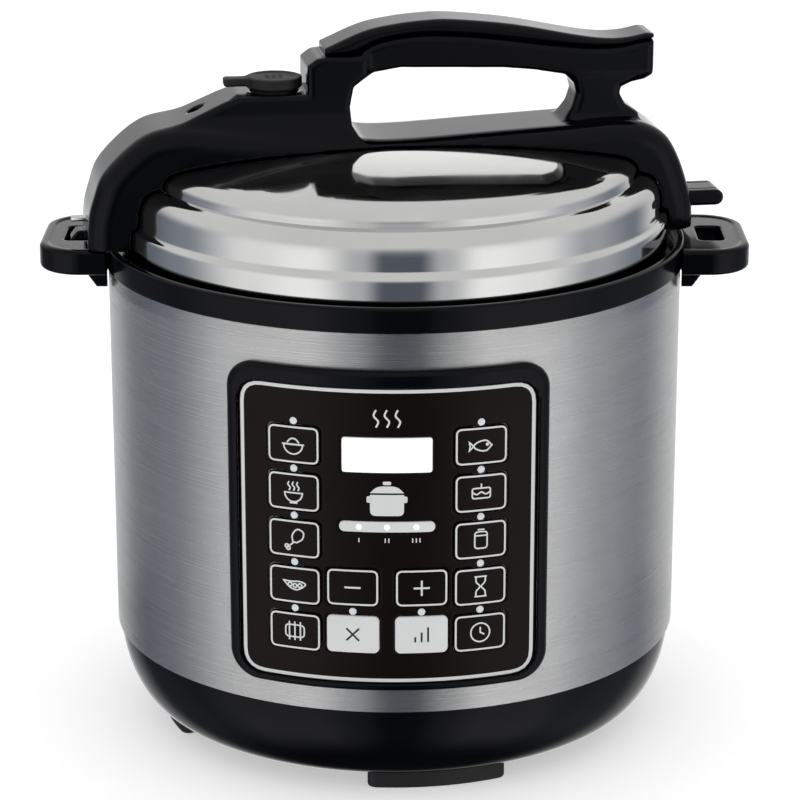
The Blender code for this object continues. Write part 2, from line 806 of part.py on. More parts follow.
def make_inner_lid(lid_axis):
    """The pressure lid: a pressed plate with a channel for the seal and a skirt with inward lugs."""
    wall = 0.0014
    profile = [
        (0, 0.252),
        (0.103, 0.252),
        (0.105, 0.2463),
        (0.122, 0.2463),
        (INNER_LID_R, 0.244),
        (INNER_LID_R, INNER_LID_SKIRT_Z),
        (INNER_LID_R - wall, INNER_LID_SKIRT_Z),
        (INNER_LID_R - wall, 0.243),
        (0.1215, 0.2443),
        (0.1035, 0.2443),
        (0.1015, 0.25),
        (0, 0.25),
    ]
    lid = turned("inner_lid", profile)
    pitch = 360 / LUG_COUNT
    lugs = [
        sector((LID_LUG_R, INNER_LID_R - wall / 2), pitch * i, LID_LUG_HALF_ANGLE, 3)
        for i in range(LUG_COUNT)
    ]
    height = LID_LUG_Z[1] - LID_LUG_Z[0]
    joined = slab("lid_lugs", lugs, height / 2, (0, 0, LID_LUG_Z[0] + height / 2))
    combine(lid, add(joined, None, lid_axis, hidden=True), "UNION")
    drill(lid, lid_axis, 0.24, 0.26)
    return add(lid, STEEL, lid_axis)


def drill(piece, lid_axis, low, high):
    """Holes for the vent pipe, the float's stem and the two screws."""
    holes = [(VALVE_S, 0.0036), (FLOAT_S, 0.0036)] + [(s, 0.0024) for s in SCREW_PLACES]
    for number, (s, radius) in enumerate(holes, 1):
        hole = rod(f"{piece.name}_hole_{number}", radius, (low, high), (s, 0))
        combine(piece, add(hole, None, lid_axis, hidden=True))


def make_lid_cover(lid_axis):
    cover = turned_sheet("lid_cover", lid_outline(), COVER_THICK)
    drill(cover, lid_axis, 0.27, 0.285)
    return add(cover, POLISHED_STEEL, lid_axis)


def beam_side_outline():
    """The handle's bridge and its two arms, seen along w."""
    left = [(ARM_LEFT_S, ARM_BOTTOM_Z), (ARM_LEFT_S, 0.247), (-0.1425, 0.2612), (-0.1365, 0.2745)]
    left += [(-0.1187, 0.290), (-0.0996, 0.2936)]
    top = [(-0.0746, 0.2912), (-0.0226, 0.2856), (0.0, 0.2844), (0.0444, 0.2866), (0.0774, 0.2882)]
    right = [(0.108, 0.2896), (0.1235, 0.284), (0.1315, 0.273), (0.1375, 0.256)]
    right += [(ARM_RIGHT_S, 0.2465), (ARM_RIGHT_S, ARM_BOTTOM_Z)]
    return smooth(left + top + right, 2)


def beam_plan_outline():
    """The bridge from above, with the corners of its two ends rounded."""
    half = BEAM_HALF_WIDTH
    points = []
    ends = (
        (ARM_RIGHT_S, -1, ARM_RIGHT_CORNER, -90),
        (ARM_RIGHT_S, 1, ARM_RIGHT_CORNER, 0),
        (ARM_LEFT_S, 1, ARM_LEFT_CORNER, 90),
        (ARM_LEFT_S, -1, ARM_LEFT_CORNER, 180),
    )
    for reach, side, radius, start in ends:
        centre = (reach - math.copysign(radius, reach), side * (half - radius))
        points += arc(centre, radius, start, start + 90, 4)
    return points


def housing_outline():
    """The valve housing and the grip's left leg, seen along w."""
    slope = [(-0.1105, 0.284), (-0.1105, 0.2905), (-0.0957, 0.2969), (-0.0816, 0.3032)]
    platform = [(-0.0745, PLATFORM_Z), (-0.0425, PLATFORM_Z)]
    leg = [(-0.0425, 0.319), (-0.038, 0.3222), (-0.034, 0.3228), (-0.0145, 0.3228)]
    inside = [(-0.0145, 0.314), (-0.021, 0.3086), (-0.023, 0.2997), (-0.0225, 0.2915), (-0.018, 0.284)]
    return slope + platform + leg + inside


def grip_outline():
    """The grip below its cap, and the neck that joins it to the bridge, seen along w."""
    seam = [(s, z - GAP) for s, z in grip_seam()]
    end = [(0.121, 0.3265), (0.121, 0.3093), (0.117, 0.307), (0.111, 0.3058), (0.1062, 0.3035)]
    neck = [(0.1057, 0.3005), (0.1082, 0.2956), (0.1145, 0.2914), (0.1145, 0.284), (0.0775, 0.284)]
    inside = [(0.0796, 0.2904), (0.0829, 0.2951), (0.0847, 0.3012), (0.0836, 0.306), (0.079, 0.3106)]
    under = [(0.064, 0.3134), (0.05, 0.3148), (0.026, 0.3156), (0.001, 0.3164), (-0.0115, 0.3144)]
    return seam + end + neck + inside + under + [(-0.02, 0.309), (-0.034, 0.309)]


def cap_outline():
    top = [(-0.034, 0.3262), (-0.016, 0.3338), (-0.002, 0.3367), (0.012, 0.3381), (0.026, 0.3382)]
    top += [(0.0545, 0.335), (0.083, 0.3294), (0.0975, 0.3273), (0.108, 0.3274), (0.1175, 0.3292)]
    return smooth(top, 2) + [(0.121, 0.3288), (0.121, 0.3268)] + grip_seam()[::-1]


def make_lid_handle(lid_axis):
    flat = (UPRIGHT, 0, 0)
    handle = slab("lid_handle", [beam_side_outline()], 0.05, (0, 0, 0), flat)
    plan = add(slab("beam_plan", [beam_plan_outline()], 0.06, (0, 0, 0.27)), None, lid_axis, hidden=True)
    combine(handle, plan, "INTERSECT")
    clearance = turned("lid_clearance", lid_outline(LID_CLEARANCE) + [(0.1294, 0.20), (0, 0.20)])
    combine(handle, add(clearance, None, lid_axis, hidden=True))
    housing = soften(slab("valve_housing", [housing_outline()], HOUSING_HALF_WIDTH, (0, 0, 0), flat), 0.002)
    combine(handle, add(housing, None, lid_axis, hidden=True), "UNION")
    stop = slab("arm_stop", [ARM_STOP], ARM_STOP_HALF_WIDTH, (0, 0, 0), flat)
    combine(handle, add(stop, None, lid_axis, hidden=True), "UNION")
    grip = soften(slab("grip_body", [grip_outline()], GRIP_HALF_WIDTH, (0, 0, 0), flat), 0.001)
    combine(handle, add(grip, None, lid_axis, hidden=True), "UNION")
    pocket = rod("valve_pocket", 0.0113, (0.3, 0.33), (VALVE_S, 0), 24)
    combine(handle, add(pocket, None, lid_axis, hidden=True))
    bores = (("vent_bore", 0.0036, 0.31, VALVE_S), ("float_bore", 0.0036, 0.31, FLOAT_S))
    bores += tuple((f"screw_bore_{i}", 0.0024, 0.2825, s) for i, s in enumerate(SCREW_PLACES, 1))
    for name, radius, top, s in bores:
        combine(handle, add(rod(name, radius, (0.27, top), (s, 0)), None, lid_axis, hidden=True))
    root_size = (0.016, 2 * (TAB_HALF_WIDTH + GAP), TAB_Z[1] - TAB_Z[0] + 2 * GAP)
    root = block("tab_socket", root_size, (TAB_ROOT - GAP + root_size[0] / 2, 0, sum(TAB_Z) / 2))
    combine(handle, add(root, None, lid_axis, hidden=True))
    pin_hole = block("pin_socket", (0.01, 0.0036, 0.0036), (ARM_LEFT_S, 0, 0.248))
    combine(handle, add(pin_hole, None, lid_axis, hidden=True))
    add(handle, GLOSS_BLACK, lid_axis)
    cap = slab("grip_cap", [cap_outline()], GRIP_HALF_WIDTH, (0, 0, 0), flat)
    add(soften(cap, 0.001), GLOSS_BLACK, lid_axis)


def make_stand_tab(lid_axis):
    """The tongue that drops into an ear's slot, so that the open lid can stand there."""
    low, high = TAB_Z
    middle = (low + high) / 2
    radius = (high - low) / 2
    end = arc((TAB_TIP - radius, middle), radius, -90, 90, 6)
    outline = [(TAB_ROOT, low)] + end + [(TAB_ROOT, high)]
    tab = slab("stand_tab", [outline], TAB_HALF_WIDTH, (0, 0, 0), (UPRIGHT, 0, 0))
    return add(tab, GLOSS_BLACK, lid_axis)


def make_guide_pin(lid_axis):
    pin = rod("guide_pin", 0.0015, (-0.0045, 0.0045), (0, 0), 12)
    pin.location = (-0.1477, 0, 0.248)
    pin.rotation_euler = (0, UPRIGHT, 0)
    return add(pin, POLISHED_STEEL, lid_axis)


def make_lid_fittings(lid_axis):
    pipe = [(0.0012, 0.308), (0.003, 0.308), (0.003, 0.2497)]
    pipe += [(0.006, 0.2497), (0.006, 0.2475), (0.0012, 0.2475)]
    vent = turned("vent_pipe", pipe, 16)
    vent.location.x = VALVE_S
    add(vent, STEEL, lid_axis)
    cup = [(0.008, 0.2497), (0.009, 0.2497), (0.009, 0.2415), (0.0075, 0.2405), (0, 0.2405)]
    cup = [(0, 0.2415), (0.0072, 0.2415), (0.008, 0.2422)] + cup
    shield = turned("steam_shield", cup, 16)
    shield.location.x = VALVE_S
    slots = block("shield_slots", (0.03, 0.003, 0.004), (VALVE_S, 0, 0.2455))
    combine(shield, add(slots, None, lid_axis, hidden=True))
    add(shield, STEEL, lid_axis)
    shank = [(0, 0.282), (0.002, 0.282), (0.002, 0.2497)]
    head = [(0.0045, 0.2497), (0.0045, 0.2472), (0, 0.2472)]
    for number, s in enumerate(SCREW_PLACES, 1):
        screw = turned(f"lid_screw_{number}", shank + head, 12)
        screw.location.x = s
        add(screw, STEEL, lid_axis)


def make_steam_valve(lid_axis):
    """The weight that turns on the vent pipe, with its tab towards the left arm."""
    holder = empty("valve_axis", (VALVE_S, 0, 0), 0.0, lid_axis)
    profile = [
        (0, 0.3118),
        (0.0095, 0.3118),
        (0.0105, 0.3125),
        (0.013, 0.3122),
        (0.013, 0.3075),
        (0.0105, 0.3068),
        (0.0105, 0.301),
        (0.0036, 0.301),
        (0.0036, 0.3084),
        (0, 0.3084),
    ]
    valve = turned("steam_valve", profile, 24)
    outline = [(-0.006, 0.006), (-0.017, 0.0035), (-0.0235, 0.0042)]
    outline += [(x, -y) for x, y in reversed(outline)]
    tab = slab("valve_tab", [outline], 0.0019, (0, 0, 0.3101))
    combine(valve, add(tab, None, holder, hidden=True), "UNION")
    return add(valve, MATTE_BLACK, holder)


def make_float(lid_axis):
    """The float that pressure lifts to lock the lid, and the small seal round its stem."""
    holder = empty("float_axis", (FLOAT_S, 0, 0), 0.0, lid_axis)
    stem = [(0, 0.2935), (0.0028, 0.2935), (0.0028, 0.241), (0.0055, 0.241), (0.0055, 0.239), (0, 0.239)]
    add(turned("float_pin", stem, 12), SIGNAL_RED, holder)
    ring = [(0.0031, 0.2428), (0.0055, 0.2428), (0.0055, 0.2413), (0.0031, 0.2413)]
    add(turned("float_seal", ring, 12), SILICONE, holder)


def make_lid():
    seal_axis = empty("seal_axis")
    lid_axis = empty("lid_axis", (0, 0, 0), LID_YAW)
    make_sealing_ring(seal_axis)
    make_inner_lid(lid_axis)
    make_lid_cover(lid_axis)
    make_lid_handle(lid_axis)
    make_stand_tab(lid_axis)
    make_guide_pin(lid_axis)
    make_lid_fittings(lid_axis)
    make_steam_valve(lid_axis)
    make_float(lid_axis)


clear_scene()
PARTS = new_collection("electric_pressure_cooker")
CUTTERS = new_collection("cutters")
GLOSS_BLACK = material("gloss_black", (0.012, 0.014, 0.02), 0.18)
MATTE_BLACK = material("matte_black", (0.02, 0.02, 0.022), 0.55)
PANEL_BLACK = material("panel_black", (0.008, 0.005, 0.005), 0.25)
KEY_GREY = material("key_grey", (0.62, 0.62, 0.63), 0.4)
LENS_WHITE = material("lens_white", (0.85, 0.85, 0.85), 0.3)
BRUSHED_STEEL = material("brushed_steel", (0.55, 0.55, 0.56), 0.35, 1.0)
POLISHED_STEEL = material("polished_steel", (0.75, 0.74, 0.72), 0.12, 1.0)
STEEL = material("pressed_steel", (0.62, 0.62, 0.62), 0.3, 1.0)
ALUMINIUM = material("aluminium", (0.72, 0.72, 0.73), 0.45, 1.0)
BRASS = material("brass", (0.8, 0.62, 0.3), 0.3, 1.0)
POT_GREY = material("pot_coating", (0.06, 0.06, 0.065), 0.5)
SILICONE = material("silicone", (0.8, 0.8, 0.78), 0.5)
SIGNAL_RED = material("signal_red", (0.6, 0.03, 0.03), 0.35)
BOARD_GREEN = material("board_green", (0.03, 0.18, 0.08), 0.5)

make_base_cover()
make_bottom_plate()
make_feet()
make_outer_shell()
make_upper_ring()
make_heat_shield()
make_support_pot()
make_heating_plate()
make_thermal_sensor()
make_switch_and_boards()
make_inlet()
make_panel()
make_board_and_display()
make_inner_pot()
make_lid()
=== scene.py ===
"""Electric pressure cooker: the looks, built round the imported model. Metres, in the model's own frame."""

import math

import bmesh
import bpy
import numpy as np
from mathutils import Matrix, Vector


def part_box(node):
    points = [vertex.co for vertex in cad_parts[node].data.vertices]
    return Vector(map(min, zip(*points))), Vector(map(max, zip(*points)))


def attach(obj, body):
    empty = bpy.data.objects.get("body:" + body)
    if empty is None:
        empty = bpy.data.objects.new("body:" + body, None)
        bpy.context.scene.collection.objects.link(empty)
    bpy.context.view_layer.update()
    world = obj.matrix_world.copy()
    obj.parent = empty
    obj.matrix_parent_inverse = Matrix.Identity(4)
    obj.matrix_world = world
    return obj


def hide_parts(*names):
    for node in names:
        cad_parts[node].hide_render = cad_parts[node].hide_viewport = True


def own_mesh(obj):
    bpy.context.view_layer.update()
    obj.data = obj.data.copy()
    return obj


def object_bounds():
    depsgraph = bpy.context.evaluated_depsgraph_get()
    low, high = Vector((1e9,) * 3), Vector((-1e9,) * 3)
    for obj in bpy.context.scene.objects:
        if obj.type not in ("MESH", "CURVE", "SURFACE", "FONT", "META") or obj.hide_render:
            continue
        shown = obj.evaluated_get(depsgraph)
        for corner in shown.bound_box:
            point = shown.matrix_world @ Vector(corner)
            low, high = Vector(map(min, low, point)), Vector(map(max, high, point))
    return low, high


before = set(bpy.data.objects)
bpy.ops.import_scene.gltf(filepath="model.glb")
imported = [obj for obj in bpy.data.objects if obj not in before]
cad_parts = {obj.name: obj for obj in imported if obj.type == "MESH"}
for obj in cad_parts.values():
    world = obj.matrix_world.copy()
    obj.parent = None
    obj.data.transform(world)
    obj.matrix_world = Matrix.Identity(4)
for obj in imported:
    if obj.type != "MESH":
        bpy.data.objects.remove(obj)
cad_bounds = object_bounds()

GAP = 0.0003
ROUND_STEPS = 224
PANEL_YAW = -1.3
LID_YAW = 9.0
FINE = 0.0003
MEDIUM = 0.0005
COARSE = 0.0009

# Camera: its place, how far it looks down, and its lens on a 36 mm sensor.
CAMERA_PLACE = (0.0026, -1.440, 0.6053)
CAMERA_TILT = 17.47
CAMERA_LENS = 141.3

# The studio: brightness by azimuth from the camera's side, then overhead.
STUDIO = (
    (-180, 1.05), (-148, 0.46), (-128, 0.12), (-100, 0.22), (-62, 0.76), (-35, 0.92), (-14, 0.44), (-4, 0.10),
    (10, 0.10), (21, 0.46), (38, 0.94), (60, 0.84), (90, 0.38), (122, 0.20), (145, 0.52), (180, 1.05),
)
OVERHEAD = 0.60
OVERHEAD_SPAN = (0.02, 0.55)
UNDER_SPAN = (-0.95, -0.72)
UNDER = 0.03
SHADE_TINT = (0.80, 0.95, 1.25)
WORLD_STRENGTH = 1.3
FLOOR_GLOW = 0.45

# Body
SHELL_R = 0.135
SHELL_Z = (0.0473, 0.2244)
SHELL_THICK = 0.0008
OPENING_HALF_WIDTH = 0.060
OPENING_Z = (0.066, 0.197)
BASE_TOP_R = 0.1335
BASE_FLAT_R = 0.1151
BASE_TOP_Z = 0.047
BASE_BOTTOM_Z = 0.0092
BASE_WALL = 0.0022
BASE_ROUNDNESS = 1.78
FOOT_R = (0.097, 0.1135)
FOOT_TOP = 0.0095
FOOT_HALF_ANGLE = 17.0
FOOT_AZIMUTHS = (10.5, 100.5, 190.5, 280.5)
RING_R = 0.1365
RING_LIP_R = 0.133
RING_Z = (0.2247, 0.2362)
EAR_TIP = 0.166
EAR_HALF_WIDTH = 0.036
EAR_CORNER = 0.020
EAR_Z = (0.2235, 0.2355)
SLOT_CENTRE = 0.149
SLOT_HALF = (0.006, 0.0135)
RIB_OFFSETS = (-0.024, -0.008, 0.008, 0.024)

# Lid
DOME_R = 0.103
DOME_RIM_Z = 0.2745
DOME_RISE = 0.007
DOME_POWER = 2.7
COVER_THICK = 0.0008
BEAM_HALF_WIDTH = 0.027
BEAM_ROUNDING = 0.010
GRIP_HALF_WIDTH = 0.0135
VALVE_S = -0.0565
FLOAT_S = -0.093
ARM_BOTTOM_Z = 0.238
ARM_LEFT_S = -0.1455
ARM_RIGHT_S = 0.1393
ARM_STOP = ((-0.1525, 0.2383), (-0.1525, 0.2395), (-0.1495, 0.243), (-0.143, 0.243), (-0.143, 0.2383))
ARM_STOP_HALF_WIDTH = 0.005
HOUSING_FLARE = ((0.284, 0.290, 0.297, 0.306), (0.0225, 0.0205, 0.0175, 0.0158))
NECK_TOP = 0.3125
NECK_WIDTHS = ((0.284, 0.292, 0.300, 0.309, NECK_TOP), (0.0150, 0.0118, 0.0108, 0.0122, 0.0135))
NECK_S = 0.07
CAP_SEAM_GAP = 0.00015
TAB_Z = (0.245, 0.2525)
TAB_ROOT = 0.1325
TAB_TIP = 0.157
TAB_HALF_WIDTH = 0.0105
PIN_PLACE = (-0.1477, 0.248)
PIN_R = 0.0015
PIN_HALF_LENGTH = 0.0045
LUG_COUNT = 8

# Panel
BEZEL_R = (0.1353, 0.139)
BEZEL_HALF_WIDTH = 0.0714
BEZEL_Z = (0.0585, 0.2084)
BEZEL_CORNER = 0.013
FACE_R = (0.1356, 0.1372)
FACE_HALF_WIDTH = 0.0666
FACE_Z = (0.0625, 0.2005)
FACE_CORNER = 0.010
KEY_R = (0.1362, 0.1378)
KEY_CORNER = 0.0025
SIDE_KEY_SIZE = (0.0242, 0.0176)
SIDE_KEY_ANGLE = 17.5
SIDE_KEY_TOP_Z = 0.1727
SIDE_KEY_PITCH = 0.02195
MID_KEY_SIZE = (0.0236, 0.0176)
MID_KEY_ANGLE = 6.4
ADJUST_KEY_Z = 0.1078
LIGHT_KEY_Z = 0.0855
LIGHT_RISE = 0.0108
WINDOW_SIZE = (0.0399, 0.016)
WINDOW_Z = 0.1696
LEVEL_SIZE = (0.0425, 0.005)
LEVEL_Z = 0.1364
LEVEL_LIGHTS = (-5.2, 0.0, 5.4)
PRINT_RISE = 0.00006
PRINT_DEPTH = 0.00012
OUTLINE_HALF_ANGLE = 28.7
OUTLINE_Z = (0.0637, 0.1990)
OUTLINE_CORNER = 0.009
OUTLINE_WIDTH = 0.0016
KEY_LINE_WIDTH = 0.0008
PLAIN_MARKS = ("plus", "minus", "cross", "bars")


# ---------------------------------------------------------------------------------------------
# Materials


def new_material(name):
    material = bpy.data.materials.new(name)
    material.use_nodes = True
    material.node_tree.nodes.clear()
    return material, material.node_tree


def add_node(tree, kind, **values):
    """A shader node with values set on its sockets. An underscore in a name stands for a space."""
    node = tree.nodes.new("ShaderNode" + kind)
    for key, value in values.items():
        node.inputs[key.replace("_", " ")].default_value = value
    return node


def surface(tree, colour, roughness, metallic=0.0, **extra):
    """The shader and its output. Extra values go to the sockets of the same names."""
    plain = dict(Base_Color=(*colour, 1), Roughness=roughness, Metallic=metallic)
    shader = add_node(tree, "BsdfPrincipled", **plain, **extra)
    output = add_node(tree, "OutputMaterial")
    tree.links.new(shader.outputs[0], output.inputs[0])
    return shader


def noise(tree, scale, detail=3.0, stretch=(1, 1, 1)):
    """Noise over the object's own coordinates, stretched along its axes."""
    place = add_node(tree, "TexCoord")
    mapping = add_node(tree, "Mapping", Scale=stretch)
    texture = add_node(tree, "TexNoise", Scale=scale, Detail=detail)
    tree.links.new(place.outputs["Object"], mapping.inputs["Vector"])
    tree.links.new(mapping.outputs[0], texture.inputs["Vector"])
    return texture


def spread(tree, source, low, high, target):
    """The source's 0.3 to 0.7, spread from low to high, drives a socket."""
    ramp = add_node(tree, "MapRange", From_Min=0.3, From_Max=0.7, To_Min=low, To_Max=high)
    tree.links.new(source.outputs[0], ramp.inputs["Value"])
    tree.links.new(ramp.outputs[0], target)


def tint(tree, source, dark, light, target, ends=(0.3, 0.7)):
    """The source mixes two colours."""
    ramp = add_node(tree, "ValToRGB")
    for element, position, colour in zip(ramp.color_ramp.elements, ends, (dark, light)):
        element.position = position
        element.color = (*colour, 1)
    tree.links.new(source, ramp.inputs[0])
    tree.links.new(ramp.outputs[0], target)


def bump(tree, source, shader, strength, distance):
    node = add_node(tree, "Bump", Strength=strength, Distance=distance)
    tree.links.new(source.outputs[0], node.inputs["Height"])
    tree.links.new(node.outputs[0], shader.inputs["Normal"])


def moulded(name, dark, light, roughness, grain, strength, **extra):
    """Moulded plastic: slow changes of colour and gloss, and a fine grain."""
    material, tree = new_material(name)
    shader = surface(tree, light, roughness[0], **extra)
    tint(tree, noise(tree, 22).outputs[0], dark, light, shader.inputs["Base Color"])
    spread(tree, noise(tree, 60, 4), *roughness, shader.inputs["Roughness"])
    bump(tree, noise(tree, grain, 2), shader, strength, 0.0002)
    return material


def metal(name, dark, light, roughness, scale, stretch=(1, 1, 1), strength=0.0, anisotropy=0.0):
    """Metal with its grain as noise stretched along the direction it was worked in."""
    material, tree = new_material(name)
    shader = surface(tree, light, roughness[0], 1.0)
    grain = noise(tree, scale, 4, stretch)
    tint(tree, grain.outputs[0], dark, light, shader.inputs["Base Color"])
    spread(tree, grain, *roughness, shader.inputs["Roughness"])
    if strength:
        bump(tree, grain, shader, strength, 0.0001)
    if anisotropy:
        shader.inputs["Anisotropic"].default_value = anisotropy
        shader.inputs["Anisotropic Rotation"].default_value = 0.25
        direction = add_node(tree, "Tangent")
        direction.direction_type = "RADIAL"
        direction.axis = "Z"
        tree.links.new(direction.outputs[0], shader.inputs["Tangent"])
    return material


def speckled(name, base, fleck, roughness):
    """A non-stick coating: small pale flecks in a dark grey."""
    material, tree = new_material(name)
    shader = surface(tree, base, roughness)
    place = add_node(tree, "TexCoord")
    cells = add_node(tree, "TexVoronoi", Scale=520)
    tree.links.new(place.outputs["Object"], cells.inputs["Vector"])
    tint(tree, cells.outputs["Distance"], fleck, base, shader.inputs["Base Color"], (0.10, 0.22))
    bump(tree, noise(tree, 900, 2), shader, 0.15, 0.0001)
    return material


def circuit(name):
    """Solder mask with copper tracks under it."""
    material, tree = new_material(name)
    mask = (0.02, 0.13, 0.05)
    shader = surface(tree, mask, 0.4)
    place = add_node(tree, "TexCoord")
    colours = dict(Color1=(*mask, 1), Color2=(0.03, 0.17, 0.06, 1), Mortar=(0.06, 0.24, 0.09, 1))
    bricks = add_node(tree, "TexBrick", Scale=120, **colours)
    tree.links.new(place.outputs["Object"], bricks.inputs["Vector"])
    tree.links.new(bricks.outputs["Color"], shader.inputs["Base Color"])
    spread(tree, noise(tree, 80), 0.3, 0.5, shader.inputs["Roughness"])
    return material


GLOSS_BLACK = moulded(
    "gloss_black_plastic", (0.0009, 0.0011, 0.0022), (0.0014, 0.0017, 0.0032), (0.11, 0.16), 1400, 0.03,
    Specular_IOR_Level=0.13,
)
SATIN_BLACK = moulded(
    "satin_black_plastic", (0.008, 0.009, 0.012), (0.013, 0.014, 0.018), (0.30, 0.40), 1800, 0.12,
    Specular_IOR_Level=0.3,
)
MATTE_BLACK = moulded(
    "matte_black_plastic", (0.010, 0.010, 0.011), (0.016, 0.016, 0.018), (0.50, 0.62), 1600, 0.25,
    Specular_IOR_Level=0.3,
)
FILM = moulded(
    "panel_film", (0.0045, 0.0014, 0.0011), (0.0060, 0.0020, 0.0016), (0.32, 0.40), 2400, 0.05,
    Specular_IOR_Level=0.12,
)
GREY_KEY = moulded(
    "grey_key_film", (0.66, 0.67, 0.67), (0.72, 0.73, 0.73), (0.40, 0.50), 2200, 0.08
)
PRINT = moulded("white_print", (0.66, 0.67, 0.67), (0.72, 0.73, 0.73), (0.45, 0.55), 2600, 0.05)
DARK_PRINT = moulded("dark_print", (0.012, 0.009, 0.009), (0.02, 0.015, 0.015), (0.40, 0.50), 2600, 0.05)
# White pane with a painted glow: a faint emission of its own makes the display pane and the level lights read
# bright white.
PAINTED_GLOW_WHITE = moulded(
    "display_white_painted_glow", (0.92, 0.92, 0.92), (0.98, 0.98, 0.98), (0.22, 0.30), 2600, 0.02,
    Emission_Color=(1, 1, 1, 1), Emission_Strength=0.25,
)
LENS = moulded(
    "light_lens", (0.80, 0.81, 0.81), (0.88, 0.89, 0.89), (0.22, 0.30), 2200, 0.04, Subsurface_Weight=0.2
)
SILICONE = moulded(
    "silicone_rubber", (0.62, 0.62, 0.60), (0.72, 0.72, 0.69), (0.45, 0.58), 1500, 0.12, Subsurface_Weight=0.3
)
RED = moulded("signal_red_plastic", (0.42, 0.012, 0.012), (0.52, 0.02, 0.02), (0.30, 0.40), 1500, 0.1)
BRUSHED = metal(
    "brushed_steel", (0.84, 0.84, 0.84), (0.90, 0.90, 0.89), (0.26, 0.33), 40, (0.12, 0.12, 90), 0.03, 0.80
)
POLISHED = metal("polished_steel", (0.63, 0.63, 0.62), (0.68, 0.68, 0.67), (0.05, 0.09), 40)
PRESSED = metal("pressed_steel", (0.56, 0.56, 0.56), (0.66, 0.66, 0.66), (0.22, 0.34), 300, (1, 1, 1), 0.03)
ALUMINIUM = metal(
    "cast_aluminium", (0.60, 0.60, 0.62), (0.72, 0.72, 0.73), (0.38, 0.52), 700, (1, 1, 1), 0.15
)
BRASS = metal("brass_pins", (0.70, 0.50, 0.20), (0.82, 0.62, 0.28), (0.22, 0.32), 500)
COATING = speckled("pot_coating", (0.020, 0.020, 0.022), (0.20, 0.20, 0.21), 0.42)
BOARD = circuit("circuit_board")

HIDDEN_FINISH = {
    "bottom_plate": MATTE_BLACK, "heat_shield": ALUMINIUM, "pressure_switch": MATTE_BLACK,
    "power_board": BOARD,
    "inlet_pin_1": BRASS, "inlet_pin_2": BRASS, "inlet_pin_3": BRASS, "display_module": MATTE_BLACK,
    "light_guide_left": LENS, "light_guide_right": LENS, "light_guide_centre": LENS, "control_board": BOARD,
    "vent_pipe": PRESSED, "steam_shield": PRESSED, "lid_screw_1": PRESSED, "lid_screw_2": PRESSED,
    "float_pin": RED, "float_seal": SILICONE,
}


# ---------------------------------------------------------------------------------------------
# Shapes in mesh code


def unit(vector):
    return vector / max(np.linalg.norm(vector), 1e-12)


def rounded(points, closed=False, steps=6):
    """A line whose corners given as (x, y, radius) are rounded; a bare (x, y) stays sharp."""
    line = []
    count = len(points)
    for i, point in enumerate(points):
        here = np.array(point[:2], float)
        if len(point) < 3 or (not closed and i in (0, count - 1)):
            line.append(tuple(here))
            continue
        before = np.array(points[i - 1][:2], float)
        after = np.array(points[(i + 1) % count][:2], float)
        reach_in = min(point[2], np.linalg.norm(before - here) / 2)
        reach_out = min(point[2], np.linalg.norm(after - here) / 2)
        start = here + unit(before - here) * reach_in
        end = here + unit(after - here) * reach_out
        for t in np.linspace(0, 1, steps + 1):
            line.append(tuple((1 - t) ** 2 * start + 2 * t * (1 - t) * here + t * t * end))
    return line


def smooth(points, spans=6):
    """A Catmull-Rom curve through the points."""
    p = [np.array(point, float) for point in points]
    p = [2 * p[0] - p[1]] + p + [2 * p[-1] - p[-2]]
    line = []
    for i in range(1, len(p) - 2):
        for t in np.arange(spans) / spans:
            a = 2 * p[i] + (p[i + 1] - p[i - 1]) * t
            b = (2 * p[i - 1] - 5 * p[i] + 4 * p[i + 1] - p[i + 2]) * t * t
            c = (3 * p[i] - p[i - 1] - 3 * p[i + 1] + p[i + 2]) * t**3
            line.append(tuple((a + b + c) / 2))
    return line + [tuple(p[-2])]


def arc(centre, radius, start, end, steps):
    angles = np.radians(np.linspace(start, end, steps + 1))
    return [(centre[0] + radius * math.cos(a), centre[1] + radius * math.sin(a)) for a in angles]


def turned(profile, steps=ROUND_STEPS):
    """Points and faces of a closed profile turned round Z. The profile runs down its outer side."""
    points = []
    faces = []
    count = len(profile)
    for i in range(steps):
        angle = 2 * math.pi * i / steps
        points += [(r * math.cos(angle), r * math.sin(angle), z) for r, z in profile]
    for i in range(steps):
        here = i * count
        there = (i + 1) % steps * count
        for j in range(count):
            k = (j + 1) % count
            if profile[j][0] < 1e-9 and profile[k][0] < 1e-9:
                continue
            faces.append((here + j, here + k, there + k, there + j))
    return points, faces


def outline_distance(outline, x, y):
    """Signed distance to a closed outline, negative inside."""
    best = np.full(np.broadcast(x, y).shape, 1e9)
    inside = np.zeros(best.shape, bool)
    for (ax, ay), (bx, by) in zip(outline, outline[1:] + outline[:1]):
        ex, ey = bx - ax, by - ay
        length = ex * ex + ey * ey
        if length < 1e-16:
            continue
        t = np.clip(((x - ax) * ex + (y - ay) * ey) / length, 0, 1)
        best = np.minimum(best, (x - ax - t * ex) ** 2 + (y - ay - t * ey) ** 2)
        if ey:
            crosses = (ay > y) != (by > y)
            inside ^= crosses & (x < ax + (y - ay) * ex / ey)
    return np.where(inside, -1, 1) * np.sqrt(best)


def rounded_box(x, y, half_x, half_y, corner):
    """Signed distance to a rounded rectangle about the origin."""
    qx = np.abs(x) - half_x + corner
    qy = np.abs(y) - half_y + corner
    return np.hypot(np.maximum(qx, 0), np.maximum(qy, 0)) + np.minimum(np.maximum(qx, qy), 0) - corner


def meet(a, b, radius):
    """Where both solids are, with the shared edge rounded."""
    if not radius:
        return np.maximum(a, b)
    high = np.minimum(np.maximum(a + radius, b + radius), 0)
    return high + np.hypot(np.maximum(a + radius, 0), np.maximum(b + radius, 0)) - radius


def join(a, b, radius):
    """Where either solid is, with the inner edge filled."""
    return -meet(-a, -b, radius)


def cut(a, b, radius=0.0):
    return meet(a, -b, radius)


